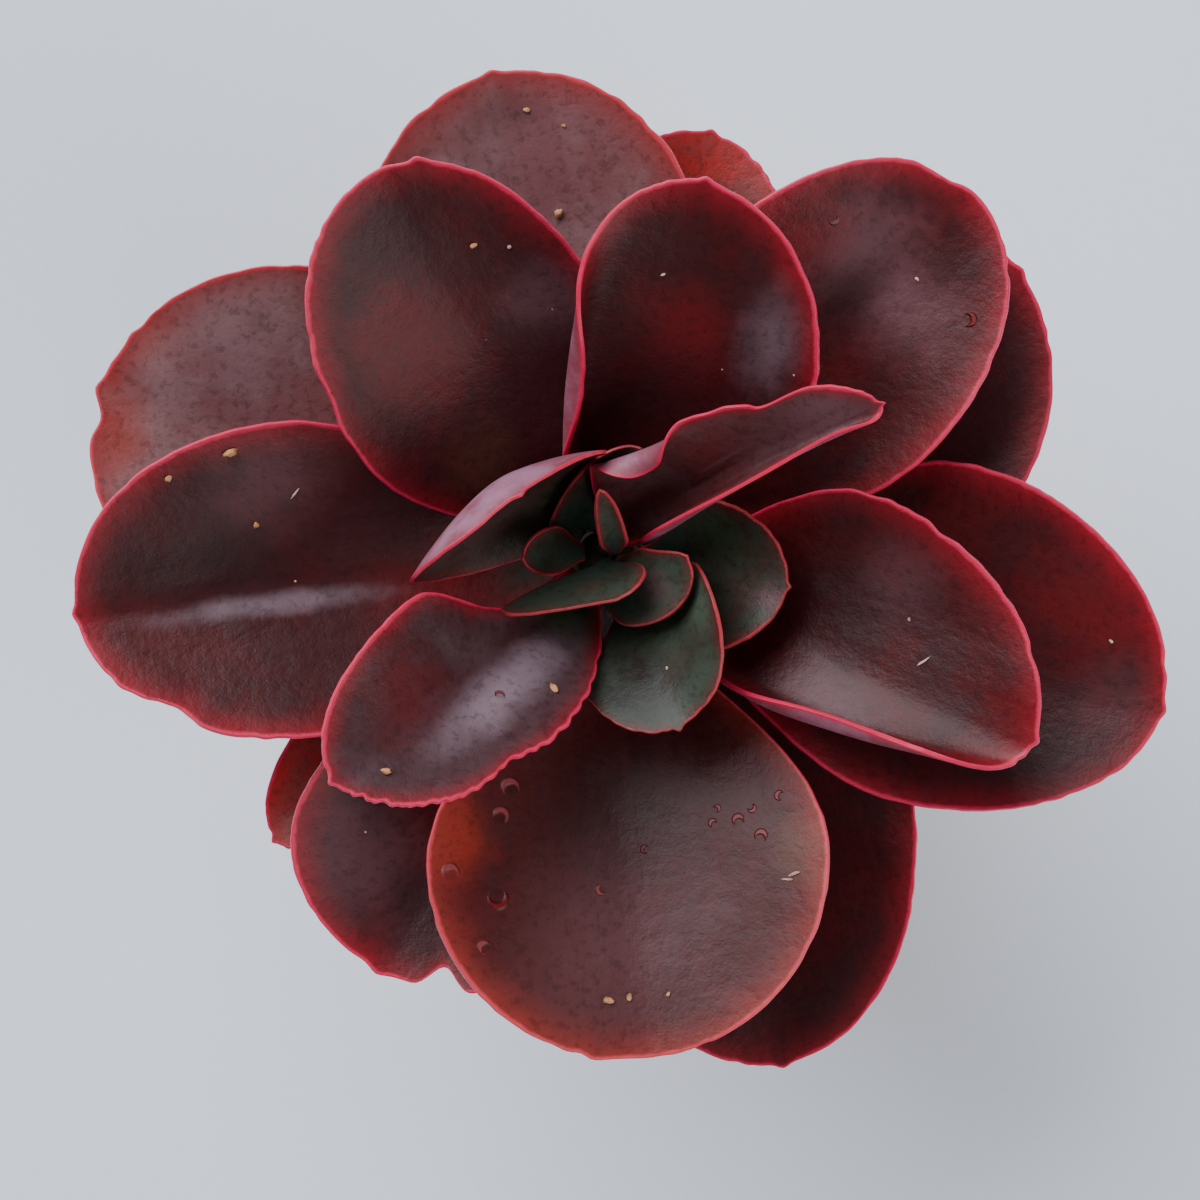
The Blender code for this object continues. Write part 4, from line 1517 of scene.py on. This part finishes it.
@dataclass
class ClayPot:
    """The plain clay pot: wall, rim band, floor, foot ring and drain hole."""

    height: float = 98 * MM
    rim_radius: float = 56 * MM
    foot_radius: float = 36 * MM
    wall: float = 6 * MM
    wall_taper: float = 1 * MM
    floor: float = 8 * MM
    band_height: float = 25 * MM
    band_step: float = 3.5 * MM
    band_taper: float = 1.5 * MM
    foot_width: float = 8 * MM
    foot_recess: float = 1.5 * MM
    drain_radius: float = 6 * MM
    edge: float = 1.2 * MM
    corner: float = radians(20)
    sides: int = 128
    bevel_steps: int = 4
    finish: ClayFinish = field(default_factory=ClayFinish)

    def inner_radius(self, height: float) -> float:
        """Finds the radius of the inner wall.

        Args:
            height: The height above the ground.

        Returns:
            The radius there.
        """
        foot = self.foot_radius - self.wall + self.wall_taper
        mouth = self.rim_radius - self.wall - self.wall_taper
        return mix(foot, mouth, (height - self.floor) / (self.height - self.floor))

    def outline(self) -> list[Pair]:
        """Draws the pot's outline, with square corners.

        Returns:
            Its (radius, height) points, from the foot up the outside and down the inside.
        """
        band_low = self.height - self.band_height
        band_low_radius = self.rim_radius - self.band_taper
        foot_inside = self.foot_radius - self.foot_width
        return [
            (self.foot_radius, 0),
            (self.rim_radius - self.band_step - self.band_taper, band_low),
            (band_low_radius, band_low),
            (self.rim_radius, self.height),
            (self.inner_radius(self.height), self.height),
            (self.inner_radius(self.floor), self.floor),
            (self.drain_radius, self.floor),
            (self.drain_radius, self.foot_recess),
            (foot_inside - self.foot_recess, self.foot_recess),
            (foot_inside, 0),
        ]

    def build(self) -> None:
        """Models and dresses the pot."""
        work = bmesh.new()
        spin(work, self.outline(), self.sides, closed=True)
        corners = [edge for edge in work.edges if self.is_corner(edge)]
        bmesh.ops.bevel(
            work, geom=corners, offset=self.edge, offset_type="OFFSET", affect="EDGES",
            segments=self.bevel_steps, profile=0.5, material=-1, clamp_overlap=True,
        )
        settle(finish_mesh("clay_pot", work), "clay", self.finish.make(), "pot")

    def is_corner(self, edge: bmesh.types.BMEdge) -> bool:
        """Finds whether an edge runs round the pot, level, where two walls meet.

        Args:
            edge: The edge.

        Returns:
            Whether it does.
        """
        first, last = edge.verts
        level = abs(first.co.z - last.co.z) < MERGE
        return level and edge.calc_face_angle(0.0) > self.corner


@dataclass(frozen=True)
class FloorFinish:
    """A plain pale table top."""

    colour: Tint = tint(226, 235, 246)
    mottle: float = 0.96
    roughness: float = 0.75
    specular: float = 0.2
    depth: float = 0.05 * MM

    def make(self) -> bpy.types.Material:
        """Makes the material."""
        bench = Bench("pale_floor")
        fine = bench.clouds(0.9 * MM, 3, 0.6)
        darker = tuple(part * self.mottle for part in self.colour)
        colour = bench.blend(fine, darker, self.colour)
        rough = self.roughness + (fine - 0.5) * 0.1
        return bench.finish(colour, rough, fine, self.depth, self.specular)


@dataclass(frozen=True)
class Lamp:
    """A soft square light: its name, where it hangs, its power in watts, its colour and its side."""

    name: str
    spot: tuple[float, float, float]
    power: float
    colour: Tint
    size: float = 1.4

    def hang(self, aim: Vector) -> None:
        """Hangs the light so that it faces a point.

        Args:
            aim: The point.
        """
        lamp = bpy.data.lights.new(self.name, "AREA")
        lamp.shape = "SQUARE"
        lamp.size = self.size
        lamp.energy = self.power
        lamp.color = self.colour
        holder = bpy.data.objects.new(self.name, lamp)
        holder.location = self.spot
        holder.rotation_euler = (Vector(self.spot) - aim).to_track_quat("Z", "Y").to_euler()
        bpy.context.scene.collection.objects.link(holder)


@dataclass
class Studio:
    """The floor, the soft lights and the camera, which looks straight down as the photograph does."""

    floor_size: float = 24.0
    floor_finish: FloorFinish = FloorFinish()
    camera_spot: tuple[float, float, float] = (-2.95 * MM, -3.9 * MM, 520 * MM)
    lens: float = 72.72
    sensor: float = 36.0
    sky: Tint = tint(226, 233, 240)
    sky_strength: float = 0.32
    aim_height: float = 0.1
    lamps: tuple[Lamp, ...] = (
        Lamp("window", (-0.7, 0.95, 1.05), 43.0, tint(248, 250, 255)),
        Lamp("fill", (1.0, -0.7, 0.8), 20.0, tint(252, 250, 250)),
    )

    def build(self) -> None:
        """Sets up the floor, the lights and the camera."""
        work = bmesh.new()
        bmesh.ops.create_grid(work, x_segments=2, y_segments=2, size=self.floor_size / 2)
        floor = finish_mesh("floor", work)
        floor.data.materials.append(self.floor_finish.make())
        for lamp in self.lamps:
            lamp.hang(Vector((0, 0, self.aim_height)))
        self.sky_light()
        self.camera()

    def sky_light(self) -> None:
        """Gives the room an even, pale light."""
        world = bpy.data.worlds.new("room")
        world.use_nodes = True
        background = world.node_tree.nodes["Background"]
        background.inputs["Color"].default_value = (*self.sky, 1)
        background.inputs["Strength"].default_value = self.sky_strength
        bpy.context.scene.world = world

    def camera(self) -> None:
        """Puts the camera above the plant, with the photograph's top towards +Y."""
        lens = bpy.data.cameras.new("camera")
        lens.lens = self.lens
        lens.sensor_width = self.sensor
        holder = bpy.data.objects.new("camera", lens)
        holder.location = self.camera_spot
        bpy.context.scene.collection.objects.link(holder)
        bpy.context.scene.camera = holder


def main() -> None:
    """Builds and dresses the plant, its soil and its pot, and sets up the studio."""
    logging.basicConfig(level=logging.INFO, format="%(name)s: %(message)s")
    stem = StemShape()
    ClayPot().build()
    PottingMix(stem).build()
    Stem(stem).build()
    Rosette(stem).build()
    Crumbs(stem).build()
    Studio().build()


if __name__ == "__main__":
    main()
